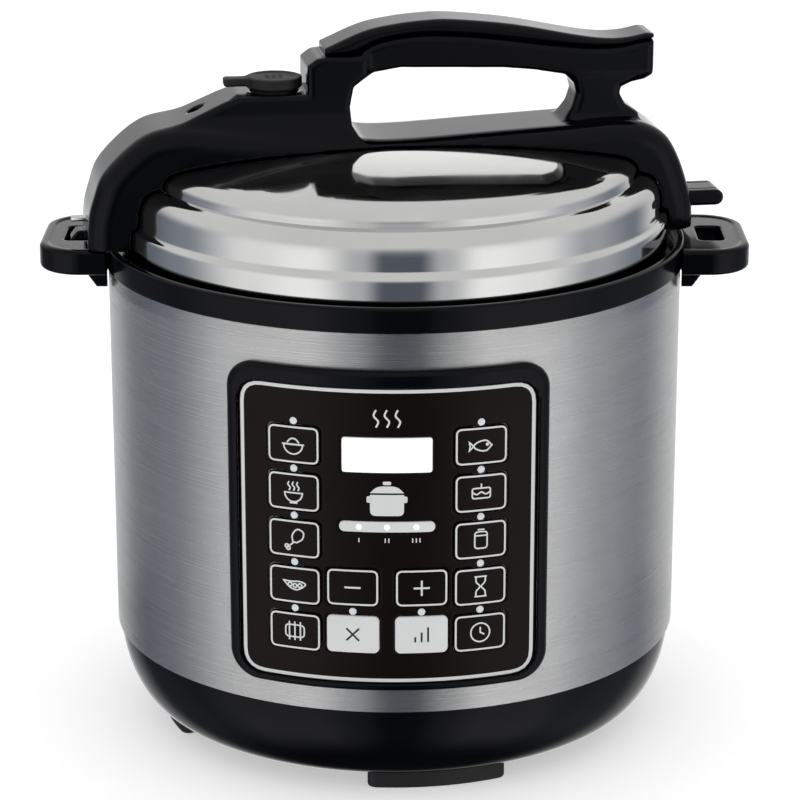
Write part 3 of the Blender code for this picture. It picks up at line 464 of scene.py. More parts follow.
def surface_net(build, low, high, step):
    """The quads of the surface where build(x, y, z) is zero. The field is negative inside."""
    sides = [np.arange(a - 2 * step, b + 3 * step, step) for a, b in zip(low, high)]
    x, y, z = np.meshgrid(*sides, indexing="ij", sparse=True)
    field = np.broadcast_to(build(x, y, z), [len(side) for side in sides]).astype(np.float32)
    shape = np.array(field.shape)
    inside = field < 0
    count = np.zeros(shape - 1, np.int8)
    corners = [(i, j, k) for i in (0, 1) for j in (0, 1) for k in (0, 1)]
    for i, j, k in corners:
        count += inside[i : shape[0] - 1 + i, j : shape[1] - 1 + j, k : shape[2] - 1 + k]
    mixed = (count > 0) & (count < 8)
    index = np.full(mixed.shape, -1)
    cells = np.argwhere(mixed)
    index[mixed] = np.arange(len(cells))
    total = np.zeros((len(cells), 3))
    hits = np.zeros(len(cells))
    for axis in range(3):
        for corner in corners:
            if corner[axis]:
                continue
            start = cells + corner
            end = start.copy()
            end[:, axis] += 1
            a = field[tuple(start.T)].astype(float)
            b = field[tuple(end.T)].astype(float)
            crossed = (a < 0) != (b < 0)
            place = start[crossed].astype(float)
            place[:, axis] += a[crossed] / (a[crossed] - b[crossed])
            total[crossed] += place
            hits[crossed] += 1
    origin = np.array([side[0] for side in sides])
    points = origin + step * total / hits[:, None]
    faces = []
    for axis in range(3):
        u, v = (axis + 1) % 3, (axis + 2) % 3
        near = inside[tuple(slice(0, n - 1) if k == axis else slice(0, n) for k, n in enumerate(shape))]
        far = inside[tuple(slice(1, n) if k == axis else slice(0, n) for k, n in enumerate(shape))]
        edges = np.argwhere(near != far)
        edges = edges[(edges[:, u] > 0) & (edges[:, v] > 0)]
        edges = edges[(edges[:, u] < shape[u] - 1) & (edges[:, v] < shape[v] - 1)]
        outward = inside[tuple(edges.T)]
        back_u = np.eye(3, dtype=int)[u]
        back_v = np.eye(3, dtype=int)[v]
        around = [edges, edges - back_u, edges - back_u - back_v, edges - back_v]
        quads = np.stack([index[tuple(cell.T)] for cell in around], axis=1)
        faces.append(np.where(outward[:, None], quads, quads[:, ::-1]))
    return points, np.concatenate(faces)


def wrap(points, angle=0.0):
    """Points given as (across, up, distance from the axis) round the body, at an angle on the panel."""
    points = np.asarray(points, float)
    azimuth = math.radians(PANEL_YAW + angle) + np.arcsin(points[:, 0] / points[:, 2])
    return np.stack([points[:, 2] * np.sin(azimuth), -points[:, 2] * np.cos(azimuth), points[:, 1]], axis=1)


def yawed(points, degrees=LID_YAW):
    """Points given as (along the handle, across it, height), turned into the model's frame."""
    points = np.asarray(points, float)
    c, s = math.cos(math.radians(degrees)), math.sin(math.radians(degrees))
    along, across, height = points.T
    return np.stack([along * c - across * s, along * s + across * c, height], axis=1)


def piece(name, shape, material, slot, body, replaces=(), sharp=38):
    """A finished piece: welded, facing outwards, smooth, riding on its body."""
    points, faces = shape
    bm = bmesh.new()
    verts = [bm.verts.new(point) for point in np.asarray(points).tolist()]
    for face in np.asarray(faces).tolist() if isinstance(faces, np.ndarray) else faces:
        if len(set(face)) > 2:
            bm.faces.new([verts[i] for i in face])
    bmesh.ops.remove_doubles(bm, verts=bm.verts, dist=1e-7)
    loose = [vert for vert in bm.verts if not vert.link_faces]
    bmesh.ops.delete(bm, geom=loose, context="VERTS")
    if bm.calc_volume(signed=True) < 0:
        bmesh.ops.reverse_faces(bm, faces=bm.faces)
    mesh = bpy.data.meshes.new(name)
    bm.to_mesh(mesh)
    bm.free()
    return place(name, mesh, material, slot, body, replaces, sharp)


def place(name, mesh, material, slot, body, replaces=(), sharp=38):
    mesh.shade_smooth()
    mesh.set_sharp_from_angle(angle=math.radians(sharp))
    mesh.materials.clear()
    mesh.materials.append(material)
    obj = bpy.data.objects.new(name, mesh)
    bpy.context.scene.collection.objects.link(obj)
    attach(obj, body)
    if replaces:
        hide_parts(*replaces)
    return obj


def merged(shapes):
    """Several shapes as one."""
    points = []
    faces = []
    for shape_points, shape_faces in shapes:
        start = len(points)
        points += [tuple(point) for point in shape_points]
        faces += [tuple(i + start for i in face) for face in shape_faces]
    return points, faces


def ribbon(line, width, closed=False):
    """A flat printed line of this width, as (across, up) pairs: a thin closed strip."""
    line = np.array(line, float)
    ahead = np.roll(line, -1, axis=0) - line
    behind = line - np.roll(line, 1, axis=0)
    if not closed:
        ahead[-1] = behind[-1]
        behind[0] = ahead[0]
    ahead /= np.maximum(np.linalg.norm(ahead, axis=1, keepdims=True), 1e-12)
    behind /= np.maximum(np.linalg.norm(behind, axis=1, keepdims=True), 1e-12)
    along = ahead + behind
    along /= np.maximum(np.linalg.norm(along, axis=1, keepdims=True), 1e-12)
    stretch = 1 / np.clip((along * ahead).sum(axis=1), 0.5, 1)
    side = np.stack([-along[:, 1], along[:, 0]], axis=1) * (width / 2 * stretch)[:, None]
    left, right = line + side, line - side
    count = len(line)
    points = np.zeros((4 * count, 3))
    for k, (edge, height) in enumerate(((left, 0), (right, 0), (right, -PRINT_DEPTH), (left, -PRINT_DEPTH))):
        points[k::4, :2] = edge
        points[k::4, 2] = height
    faces = []
    for i in range(count if closed else count - 1):
        a, b = 4 * i, 4 * ((i + 1) % count)
        faces += [(a + k, a + (k + 1) % 4, b + (k + 1) % 4, b + k) for k in range(4)]
    if not closed:
        last = 4 * (count - 1)
        faces += [(0, 3, 2, 1), (last, last + 1, last + 2, last + 3)]
    return points, faces


def patch(outline, strip=0.0012):
    """A filled printed shape, as a thin closed plate cut into strips that can follow the panel's curve."""
    bm = bmesh.new()
    bm.faces.new([bm.verts.new((x, y, 0)) for x, y in outline])
    lows = [x for x, _ in outline]
    for x in np.arange(min(lows) + strip / 2, max(lows), strip):
        everything = bm.verts[:] + bm.edges[:] + bm.faces[:]
        bmesh.ops.bisect_plane(bm, geom=everything, plane_co=(x, 0, 0), plane_no=(1, 0, 0))
    made = bmesh.ops.extrude_face_region(bm, geom=bm.faces[:])
    for vert in made["geom"]:
        if isinstance(vert, bmesh.types.BMVert):
            vert.co.z -= PRINT_DEPTH
    bmesh.ops.recalc_face_normals(bm, faces=bm.faces)
    bm.verts.index_update()
    points = [tuple(vert.co) for vert in bm.verts]
    faces = [tuple(vert.index for vert in face.verts) for face in bm.faces]
    bm.free()
    return points, faces


def fine_line(line, closed=False, step=0.002):
    """The line with points added, so that it follows the panel's curve."""
    ends = list(zip(line, line[1:] + line[:1] if closed else line[1:]))
    points = []
    for a, b in ends:
        count = max(1, math.ceil(math.dist(a, b) / step))
        points += [(a[0] + (b[0] - a[0]) * i / count, a[1] + (b[1] - a[1]) * i / count) for i in range(count)]
    return points if closed else points + [line[-1]]


def print_piece(name, shapes, radius, z, material, slot, body, angle=0.0):
    """Printed shapes about a point of the panel, laid on its curve."""
    points, faces = merged(shapes)
    points = np.array(points) + (0, z, radius + PRINT_RISE)
    return piece(name, (wrap(points, angle), faces), material, slot, body, sharp=60)


def boxed(width, height, corner):
    """A rounded rectangle's outline about the origin."""
    x, y = width / 2, height / 2
    return rounded([(-x, -y, corner), (x, -y, corner), (x, y, corner), (-x, y, corner)], True, 5)


# ---------------------------------------------------------------------------------------------
# Body


def base_wall(inset, steps):
    """The base's rounded wall from top to bottom, moved inwards by an inset."""
    points = []
    reach = BASE_TOP_R - BASE_FLAT_R
    drop = BASE_TOP_Z - BASE_BOTTOM_Z - inset
    for i in range(steps + 1):
        t = math.radians(90 * i / steps)
        r = BASE_FLAT_R - inset + reach * math.cos(t) ** (2 / BASE_ROUNDNESS)
        points.append((r, BASE_TOP_Z - drop * math.sin(t) ** (2 / BASE_ROUNDNESS)))
    return points


def make_base():
    outer = base_wall(0.0, 26)
    inner = base_wall(BASE_WALL, 16)
    spigot_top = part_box("base_cover")[1].z
    spigot = [(BASE_TOP_R - BASE_WALL, spigot_top), (BASE_TOP_R - 0.0004, spigot_top)]
    spigot += [(BASE_TOP_R - 0.0004, BASE_TOP_Z + 0.0004)]
    shape = turned(spigot + outer + inner[::-1])
    cover = piece("base_cover_skin", shape, GLOSS_BLACK, "gloss_black", "base", ("base_cover",))
    low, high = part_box("inlet_socket")
    size = high - low + Vector((2 * GAP, 0.03, 2 * GAP))
    cutter_mesh = bpy.data.meshes.new("inlet_opening")
    bm = bmesh.new()
    matrix = Matrix.Translation((low + high) / 2) @ Matrix.Diagonal((*size, 1))
    bmesh.ops.create_cube(bm, size=1, matrix=matrix)
    bm.to_mesh(cutter_mesh)
    bm.free()
    cutter = bpy.data.objects.new("inlet_opening", cutter_mesh)
    bpy.context.scene.collection.objects.link(cutter)
    opening = cover.modifiers.new("opening", "BOOLEAN")
    opening.object = cutter
    opening.solver = "EXACT"
    bpy.context.view_layer.update()
    finished = bpy.data.meshes.new_from_object(cover.evaluated_get(bpy.context.evaluated_depsgraph_get()))
    cover.modifiers.clear()
    cover.data = finished
    bpy.data.objects.remove(cutter)
    finished.set_sharp_from_angle(angle=math.radians(38))


def make_feet():
    middle = sum(FOOT_R) / 2
    half_depth = (FOOT_R[1] - FOOT_R[0]) / 2
    half_arc = middle * math.radians(FOOT_HALF_ANGLE)

    def foot(u, v, z):
        plan = rounded_box(u, v, half_arc, half_depth, 0.004)
        return meet(plan, np.abs(z - FOOT_TOP / 2) - FOOT_TOP / 2, 0.0014)

    points, faces = surface_net(foot, (-half_arc, -half_depth, 0), (half_arc, half_depth, FOOT_TOP), MEDIUM)
    for number, azimuth in enumerate(FOOT_AZIMUTHS, 1):
        angle = np.radians(azimuth) + points[:, 0] / middle
        r = middle + points[:, 1]
        bent = np.stack([r * np.cos(angle), r * np.sin(angle), points[:, 2]], axis=1)
        piece(f"foot_pad_{number}", (bent, faces), MATTE_BLACK, "matte_black", "base", (f"foot_{number}",))


def make_shell():
    """The brushed shell, with the opening behind the panel."""
    edge = 0.0006
    levels = {*np.linspace(*SHELL_Z, 13).round(5), *OPENING_Z, SHELL_Z[0] + edge, SHELL_Z[1] - edge}
    levels = sorted(levels)
    reach = math.degrees(math.asin(OPENING_HALF_WIDTH / SHELL_R))
    bm = bmesh.new()
    rings = []
    for i in range(ROUND_STEPS):
        angle = 2 * math.pi * i / ROUND_STEPS
        x, y = SHELL_R * math.sin(angle), -SHELL_R * math.cos(angle)
        rings.append([bm.verts.new((x, y, z)) for z in levels])
    for i in range(ROUND_STEPS):
        middle = (360 * (i + 0.5) / ROUND_STEPS - PANEL_YAW + 180) % 360 - 180
        for j in range(len(levels) - 1):
            height = (levels[j] + levels[j + 1]) / 2
            if abs(middle) < reach and OPENING_Z[0] < height < OPENING_Z[1]:
                continue
            a, b = rings[i], rings[(i + 1) % ROUND_STEPS]
            bm.faces.new((a[j], b[j], b[j + 1], a[j + 1]))
    bmesh.ops.solidify(bm, geom=list(bm.faces), thickness=SHELL_THICK)
    farthest = max(math.hypot(vert.co.x, vert.co.y) for vert in bm.verts)
    for vert in bm.verts:
        scale = (math.hypot(vert.co.x, vert.co.y) - farthest + SHELL_R) / math.hypot(vert.co.x, vert.co.y)
        vert.co.x *= scale
        vert.co.y *= scale
    bmesh.ops.recalc_face_normals(bm, faces=bm.faces)
    loose = [vert for vert in bm.verts if not vert.link_faces]
    bmesh.ops.delete(bm, geom=loose, context="VERTS")
    mesh = bpy.data.meshes.new("shell_skin")
    bm.to_mesh(mesh)
    bm.free()
    place("shell_skin", mesh, BRUSHED, "brushed_steel", "base", ("outer_shell",))


def make_ring():
    skirt = SHELL_R - SHELL_THICK - 0.0006
    low, high = RING_Z
    profile = rounded(
        [
            (RING_LIP_R, high, 0.0008), (RING_R, high, 0.0016), (RING_R, low + GAP, 0.0005),
            (skirt, low + GAP),
            (skirt, 0.217), (skirt - 0.002, 0.217), (skirt - 0.002, 0.2262), (0.1142, 0.2262),
            (0.1142, 0.2315, 0.0004), (0.117, 0.2315, 0.0004), (0.117, 0.2285, 0.0008),
            (RING_LIP_R, 0.2285, 0.0012),
        ],
        True,
        5,
    )
    piece("ring_band", turned(profile), GLOSS_BLACK, "gloss_black", "base", ("upper_ring",))
    for side, name in ((-1, "left"), (1, "right")):

        def ear(x, y, z):
            reach = side * x
            plan = rounded_box(reach - 0.110, y, EAR_TIP - 0.110, EAR_HALF_WIDTH, EAR_CORNER)
            plate = meet(plan, np.abs(z - sum(EAR_Z) / 2) - (EAR_Z[1] - EAR_Z[0]) / 2, 0.0022)
            rim = rounded_box(reach - 0.110, y, EAR_TIP - 0.1145, EAR_HALF_WIDTH - 0.0045, EAR_CORNER - 0.004)
            plate = cut(plate, meet(rim, EAR_Z[1] - 0.0006 - z, 0.0), 0.0004)
            for offset in RIB_OFFSETS:
                slope = (0.2155 - z) + np.maximum(reach - 0.139, 0) * 1.4
                side_faces = np.maximum(np.abs(y - offset) - 0.0012, slope)
                fin = np.maximum(side_faces, np.maximum(reach - 0.146, z - 0.2255))
                plate = np.minimum(plate, fin)
            slot = rounded_box(reach - SLOT_CENTRE, y, *SLOT_HALF, 0.003)
            plate = cut(plate, slot, 0.0008)
            return np.maximum(plate, RING_R - GAP - np.hypot(x, y))

        near, far = sorted((side * 0.1345, side * EAR_TIP))
        shape = surface_net(ear, (near, -EAR_HALF_WIDTH, 0.2150), (far, EAR_HALF_WIDTH, EAR_Z[1]), MEDIUM)
        piece(f"ear_{name}", shape, GLOSS_BLACK, "gloss_black", "base", ("upper_ring",))


def make_inlet():
    low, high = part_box("inlet_socket")
    middle = (low + high) / 2
    half = (high - low) / 2

    def socket(x, y, z):
        face = rounded_box(x - middle.x, z - middle.z, half.x, half.z, 0.003)
        body = meet(face, np.abs(y - middle.y) - half.y, 0.001)
        mouth = rounded_box(x - middle.x, z - middle.z, 0.01225, 0.00825, 0.003)
        return cut(body, np.maximum(mouth, high.y - 0.014 - y), 0.0005)

    shape = surface_net(socket, low, high, MEDIUM)
    piece("inlet_housing", shape, SATIN_BLACK, "matte_black", "base", ("inlet_socket",))


def make_cooker_inside():
    """What shows when the pot is lifted out: the support pot, the heating plate and its sensor."""
    support = rounded(
        [
            (0.1118, 0.2338, 0.0004), (0.118, 0.2338, 0.0004), (0.118, 0.2318), (0.1132, 0.2318, 0.0008),
            (0.1132, 0.045, 0.006), (0.088, 0.045), (0.088, 0.0464), (0.1118, 0.0464, 0.005),
        ],
        True,
        6,
    )
    lugs = []
    for i in range(LUG_COUNT):
        lugs.append(sector_plate((0.1175, 0.1215), (0.2318, 0.2338), 360 / LUG_COUNT * i, 4.4))
    shape = merged([turned(support)] + lugs)
    piece("support_pot_skin", shape, PRESSED, "pressed_steel", "base", ("support_pot",))
    plate = rounded(
        [(0.0133, 0.056, 0.0008), (0.0865, 0.056, 0.003), (0.0865, 0.044), (0.0133, 0.044)], True, 6
    )
    piece("heating_plate_skin", turned(plate), ALUMINIUM, "aluminium", "base", ("heating_plate",))
    button = [(0.002, 0.056), (0.0125, 0.056, 0.0012), (0.0125, 0.040)]
    sensor = [(0, 0.056)] + rounded(button + [(0.004, 0.040), (0.004, 0.028), (0.0, 0.028)])
    piece("sensor_button", turned(sensor, 64), ALUMINIUM, "aluminium", "sensor", ("thermal_sensor",))


def sector_plate(r_span, z_span, middle, half_angle, steps=8):
    """A plate between two radii, two heights and two angles."""
    points = []
    for i in range(steps + 1):
        angle = math.radians(middle + half_angle * (2 * i / steps - 1))
        for r, z in ((0, 0), (1, 0), (1, 1), (0, 1)):
            points.append((r_span[r] * math.cos(angle), r_span[r] * math.sin(angle), z_span[z]))
    faces = [(0, 1, 2, 3)]
    for i in range(steps):
        a, b = 4 * i, 4 * i + 4
        faces += [(a + (k + 1) % 4, a + k, b + k, b + (k + 1) % 4) for k in range(4)]
    last = 4 * steps
    faces.append((last + 3, last + 2, last + 1, last))
    return points, faces


def make_spring():
    """The sensor's spring: a fine coil with flat ends, built once at the model's length; the real one
    shortens as the sensor goes down.
    """
    low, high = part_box("sensor_spring")
    wire = 0.0005
    radius = 0.0065
    turns = 4
    around = 10
    along = turns * 32
    points = []
    for i in range(along + 1):
        angle = 2 * math.pi * turns * i / along
        centre = Vector((radius * math.cos(angle), radius * math.sin(angle), 0))
        centre.z = low.z + wire + (high.z - low.z - 2 * wire) * i / along
        outward = Vector((math.cos(angle), math.sin(angle), 0))
        for k in range(around):
            turn = 2 * math.pi * k / around
            points.append(tuple(centre + wire * (outward * math.cos(turn) + Vector((0, 0, math.sin(turn))))))
    faces = []
    for i in range(along):
        a, b = around * i, around * (i + 1)
        faces += [(a + k, b + k, b + (k + 1) % around, a + (k + 1) % around) for k in range(around)]
    faces.append(tuple(range(around)))
    faces.append(tuple(reversed(range(around * along, around * (along + 1)))))
    spring = piece("spring_coil", (points, faces), PRESSED, "pressed_steel", "base", ("sensor_spring",), 60)
    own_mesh(spring)


# ---------------------------------------------------------------------------------------------
# Panel


def make_bezel():
    z_middle = sum(BEZEL_Z) / 2
    half_z = (BEZEL_Z[1] - BEZEL_Z[0]) / 2
    face_middle = sum(FACE_Z) / 2
    face_half = (FACE_Z[1] - FACE_Z[0]) / 2 + GAP

    def bezel(u, v, d):
        outer = rounded_box(u, v - z_middle, BEZEL_HALF_WIDTH, half_z, BEZEL_CORNER)
        band = meet(outer, d - BEZEL_R[1], 0.0030)
        band = np.maximum(band, BEZEL_R[0] - d)
        inner = rounded_box(u, v - face_middle, FACE_HALF_WIDTH + GAP, face_half, FACE_CORNER + GAP)
        return cut(band, inner, 0.0008)

    low, high = zip((-BEZEL_HALF_WIDTH, BEZEL_HALF_WIDTH), BEZEL_Z, BEZEL_R)
    points, faces = surface_net(bezel, low, high, MEDIUM)
    piece("bezel_rim", (wrap(points), faces), GLOSS_BLACK, "gloss_black", "base", ("panel_bezel",))


def key_table():
    """(name, angle, height, size, finish, slot, pictogram) of every key."""
    rows = []
    left = ("bowl", "soup", "drumstick", "beans", "ribs")
    right = ("fish", "cake", "jar", "hourglass", "clock")
    for side, angle, pictures in (("left", -SIDE_KEY_ANGLE, left), ("right", SIDE_KEY_ANGLE, right)):
        for row, picture in enumerate(pictures):
            z = SIDE_KEY_TOP_Z - row * SIDE_KEY_PITCH
            rows.append((f"key_{side}_{row + 1}", angle, z, SIDE_KEY_SIZE, FILM, "panel_black", picture))
    rows.append(("key_minus", -MID_KEY_ANGLE, ADJUST_KEY_Z, MID_KEY_SIZE, FILM, "panel_black", "minus"))
    rows.append(("key_plus", MID_KEY_ANGLE, ADJUST_KEY_Z, MID_KEY_SIZE, FILM, "panel_black", "plus"))
    rows.append(("key_cancel", -MID_KEY_ANGLE, LIGHT_KEY_Z, MID_KEY_SIZE, GREY_KEY, "key_grey", "cross"))
    rows.append(("key_pressure", MID_KEY_ANGLE, LIGHT_KEY_Z, MID_KEY_SIZE, GREY_KEY, "key_grey", "bars"))
    return rows


def wave(x, low, high, sway=0.1):
    """A rising wisp of steam."""
    rise = high - low
    return smooth([(x, low), (x + sway, low + rise / 3), (x - sway, low + rise * 2 / 3), (x, high)], 5)


def ringlet(x, y, radius, steps=18):
    """A closed circle in a pictogram."""
    return True, arc((x, y), radius, 0, 360 - 360 / steps, steps - 1)


def strokes(*lines):
    """Open lines in a pictogram."""
    return [(False, list(line)) for line in lines]


def pictogram(kind):
    """(closed, points) lines of a plain pictogram in a box from -1 to 1."""
    if kind == "bowl":
        steam = smooth([(-0.55, 0.15), (-0.2, 0.5), (0.2, 0.5), (0.55, 0.15)], 5)
        return [(True, arc((0, 0), 0.85, 180, 360, 16))] + strokes([(-1, 0.02), (1, 0.02)], steam)
    if kind == "soup":
        wisps = [wave(x, 0.1, 0.9) for x in (-0.4, 0, 0.4)]
        return [(True, arc((0, -0.1), 0.8, 180, 360, 16))] + strokes([(-0.35, -1), (0.35, -1)], *wisps)
    if kind == "drumstick":
        meat = smooth([(-0.1, -0.3), (-0.15, 0.3), (0.3, 0.85), (0.85, 0.6), (0.75, 0.0), (0.25, -0.35)], 5)
        bone = strokes([(0.0, -0.33), (-0.5, -0.75)])
        return [(True, meat)] + bone + [ringlet(-0.65, -0.72, 0.16), ringlet(-0.52, -0.9, 0.16)]
    if kind == "beans":
        pod = [(-1, 0.35), (-0.4, -0.25), (0.3, -0.4), (1, 0.1), (0.5, 0.35), (-0.3, 0.3), (-1, 0.35)]
        beans = [ringlet(x, y, 0.17) for x, y in ((-0.4, 0.03), (0.05, -0.05), (0.5, -0.02))]
        return [(True, smooth(pod, 5)[:-1])] + beans
    if kind == "ribs":
        return [(True, boxed(1.7, 1.1, 0.35))] + strokes(*([(x, -0.85), (x, 0.85)] for x in (-0.5, 0, 0.5)))
    if kind == "fish":
        body = [(0.9, 0), (0.4, 0.45), (-0.3, 0.35), (-0.7, 0), (-0.3, -0.35), (0.4, -0.45), (0.9, 0)]
        tail = [(-0.7, 0), (-1.1, 0.4), (-1.0, 0), (-1.1, -0.4)]
        return [(True, smooth(body, 5)[:-1]), (True, tail), ringlet(0.5, 0.1, 0.08, 8)]
    if kind == "cake":
        icing = smooth([(-0.8, 0.1), (-0.4, -0.1), (0, 0.1), (0.4, -0.1), (0.8, 0.1)], 5)
        return [(True, boxed(1.6, 0.9, 0.2))] + strokes(icing, [(0, 0.45), (0, 0.85)])
    if kind == "jar":
        shoulder, lid = [(-0.55, 0.4), (0.55, 0.4)], [(-0.3, 0.95), (0.3, 0.95)]
        return [(True, boxed(1.1, 1.5, 0.3))] + strokes(shoulder, lid)
    if kind == "hourglass":
        ends = [[(-0.55, z), (0.55, z)] for z in (0.9, -0.9)]
        glass = ((0.42, 0.88), (0.38, 0.4), (0.06, 0), (0.38, -0.4), (0.42, -0.88))
        return strokes(*ends, *(smooth([(side * x, y) for x, y in glass], 6) for side in (-1, 1)))
    if kind == "clock":
        return [ringlet(0, 0, 0.85, 28)] + strokes([(0, 0.5), (0, 0), (0.38, -0.2)])
    if kind == "minus":
        return strokes([(-0.75, 0), (0.75, 0)])
    if kind == "plus":
        return strokes([(-0.75, 0), (0.75, 0)], [(0, -0.75), (0, 0.75)])
    if kind == "cross":
        return strokes([(-0.6, -0.6), (0.6, 0.6)], [(-0.6, 0.6), (0.6, -0.6)])
    return strokes(*([(x, -0.7), (x, top)] for x, top in ((-0.6, -0.2), (0.0, 0.25), (0.6, 0.75))))


def make_keys():
    for name, angle, z, (width, height), finish, slot, picture in key_table():
        low, high = KEY_R

        def key(u, v, d):
            plan = rounded_box(u, v - z, width / 2, height / 2, KEY_CORNER)
            return np.maximum(meet(plan, d - high, 0.0005), low - d)

        corners = ((side * width / 2, z + side * height / 2, d) for side, d in ((-1, low), (1, high)))
        points, faces = surface_net(key, *corners, FINE)
        piece(name + "_cap", (wrap(points, angle), faces), finish, slot, name, (name,), 50)
        ink = DARK_PRINT if finish is GREY_KEY else PRINT
        ink_slot = "panel_black" if finish is GREY_KEY else "lens_white"
        scale, line_width = (0.0048, 0.00085) if picture in PLAIN_MARKS else (0.0052, 0.00068)
        shapes = []
        for closed, line in pictogram(picture):
            line = [(x * scale, y * scale) for x, y in line]
            shapes.append(ribbon(fine_line(line, closed), line_width, closed))
        if finish is FILM:
            frame_line = fine_line(boxed(width - 0.0016, height - 0.0016, KEY_CORNER), True)
            shapes.append(ribbon(frame_line, KEY_LINE_WIDTH, True))
        print_piece(name + "_print", shapes, high, z, ink, ink_slot, name, angle)


def make_face():
    z_middle = sum(FACE_Z) / 2
    half_z = (FACE_Z[1] - FACE_Z[0]) / 2
    windows = ((WINDOW_SIZE, WINDOW_Z, 0.0015), (LEVEL_SIZE, LEVEL_Z, 0.0015))
    keys = key_table()

    def face(u, v, d):
        plan = rounded_box(u, v - z_middle, FACE_HALF_WIDTH, half_z, FACE_CORNER)
        for (width, height), z, corner in windows:
            hole = rounded_box(u, v - z, width / 2 + GAP, height / 2 + GAP, corner)
            plan = np.maximum(plan, -hole)
        for _, angle, z, (width, height), _, _, _ in keys:
            turn = np.arcsin(np.clip(u / FACE_R[1], -1, 1)) - math.radians(angle)
            hole = rounded_box(FACE_R[1] * np.sin(turn), v - z, width / 2 + GAP, height / 2 + GAP, KEY_CORNER)
            plan = np.maximum(plan, -hole)
        return np.maximum(plan, np.maximum(d - FACE_R[1], FACE_R[0] - d))

    low, high = zip((-FACE_HALF_WIDTH, FACE_HALF_WIDTH), FACE_Z, FACE_R)
    points, faces = surface_net(face, low, high, 0.0006)
    piece("face_film", (wrap(points), faces), FILM, "panel_black", "base", ("panel_face",))
    # The display pane's white finish carries a painted glow.
    for name, (width, height), z, corner, finish in (
        ("display_pane", WINDOW_SIZE, WINDOW_Z, 0.0012, PAINTED_GLOW_WHITE),
        ("level_pane", LEVEL_SIZE, LEVEL_Z, 0.0024, PRINT),
    ):

        def pane(u, v, d):
            plan = rounded_box(u, v - z, width / 2, height / 2, corner)
            return np.maximum(meet(plan, d - FACE_R[1] - 0.00005, 0.0003), FACE_R[0] - d)

        points, faces = surface_net(
            pane, (-width / 2, z - height / 2, FACE_R[0]), (width / 2, z + height / 2, FACE_R[1]), FINE
        )
        node = "display_window" if name == "display_pane" else "level_window"
        piece(name, (wrap(points), faces), finish, "lens_white", "base", (node,), 50)


def make_face_prints():
    """The printed frame, the pot's picture, the level marks and a wisp of steam."""
    half = FACE_R[1] * math.sin(math.radians(OUTLINE_HALF_ANGLE)) - 0.0015
    height = OUTLINE_Z[1] - OUTLINE_Z[0]
    middle = sum(OUTLINE_Z) / 2
    border = ribbon(fine_line(boxed(2 * half, height, OUTLINE_CORNER), True), OUTLINE_WIDTH, True)
    print_piece("face_border", [border], FACE_R[1], middle, PRINT, "lens_white", "base")
    wide, tall = 0.0075, 0.0098
    pot = rounded([(-wide, 0.0), (-wide, -tall, 0.0026), (wide, -tall, 0.0026), (wide, 0.0)], False, 5)
    slope = 0.6 * wide
    top = [(-slope, 0.0040, 0.003), (slope, 0.0040, 0.003)]
    lid = rounded([(-wide, 0.0008)] + top + [(wide, 0.0008)], False, 5)
    knob = [(x, y + 0.0054) for x, y in boxed(0.0036, 0.0016, 0.0006)]
    shapes = [patch(pot), patch(lid), patch(knob)]
    for side in (-1, 1):
        lug = [(side * wide * 1.04 + x, y - 0.0022) for x, y in boxed(0.0024, 0.0030, 0.0008)]
        shapes.append(patch(lug))
    print_piece("pot_picture", shapes, FACE_R[1], 0.1515, PRINT, "lens_white", "base")
    for number, angle in enumerate(LEVEL_LIGHTS, 1):
        marks = []
        for bar in range(number):
            x = 0.0016 * (bar - (number - 1) / 2)
            marks.append(ribbon([(x, -0.0010), (x, 0.0010)], 0.0005))
        z = LEVEL_Z - 0.0062
        print_piece(f"level_mark_{number}", marks, FACE_R[1], z, PRINT, "lens_white", "base", angle)
    wisps = []
    for place_x in (-1.2, 0, 1.2):
        wisps.append(ribbon([(x * 0.004, y * 0.004) for x, y in wave(place_x, -1, 1, 0.25)], 0.0008))
    print_piece("steam_wisps", wisps, FACE_R[1], 0.1866, PRINT, "lens_white", "base")


def make_lights():
    """Small domed signal lights over the keys, and three in the level bar."""
    places = []
    for angle in (-SIDE_KEY_ANGLE, SIDE_KEY_ANGLE):
        places += [(angle, SIDE_KEY_TOP_Z - row * SIDE_KEY_PITCH + LIGHT_RISE) for row in range(5)]
    places += [(angle, LIGHT_KEY_Z + LIGHT_RISE) for angle in (-MID_KEY_ANGLE, MID_KEY_ANGLE)]
    shapes = [light_dome(angle, z, 0.0017) for angle, z in places]
    piece("signal_lights", merged(shapes), LENS, "lens_white", "base", sharp=50)
    # The level lights take the white finish with its painted glow.
    shapes = [light_dome(angle, LEVEL_Z, 0.0014) for angle in LEVEL_LIGHTS]
    piece("level_lights", merged(shapes), PAINTED_GLOW_WHITE, "lens_white", "base", sharp=50)


def light_dome(angle, z, radius, steps=28):
    """A shallow dome on the panel."""
    rise = 0.00035
    profile = [(0, rise)]
    profile += [(radius * math.sin(t), rise * math.cos(t)) for t in np.linspace(0.3, 1.5, 6)]
    profile += [(radius, -0.0006), (0, -0.0006)]
    points, faces = turned(profile, steps)
    laid = [(x, y + z, FACE_R[1] + height) for x, y, height in points]
    return wrap(laid, angle), faces


# ---------------------------------------------------------------------------------------------
# Pot


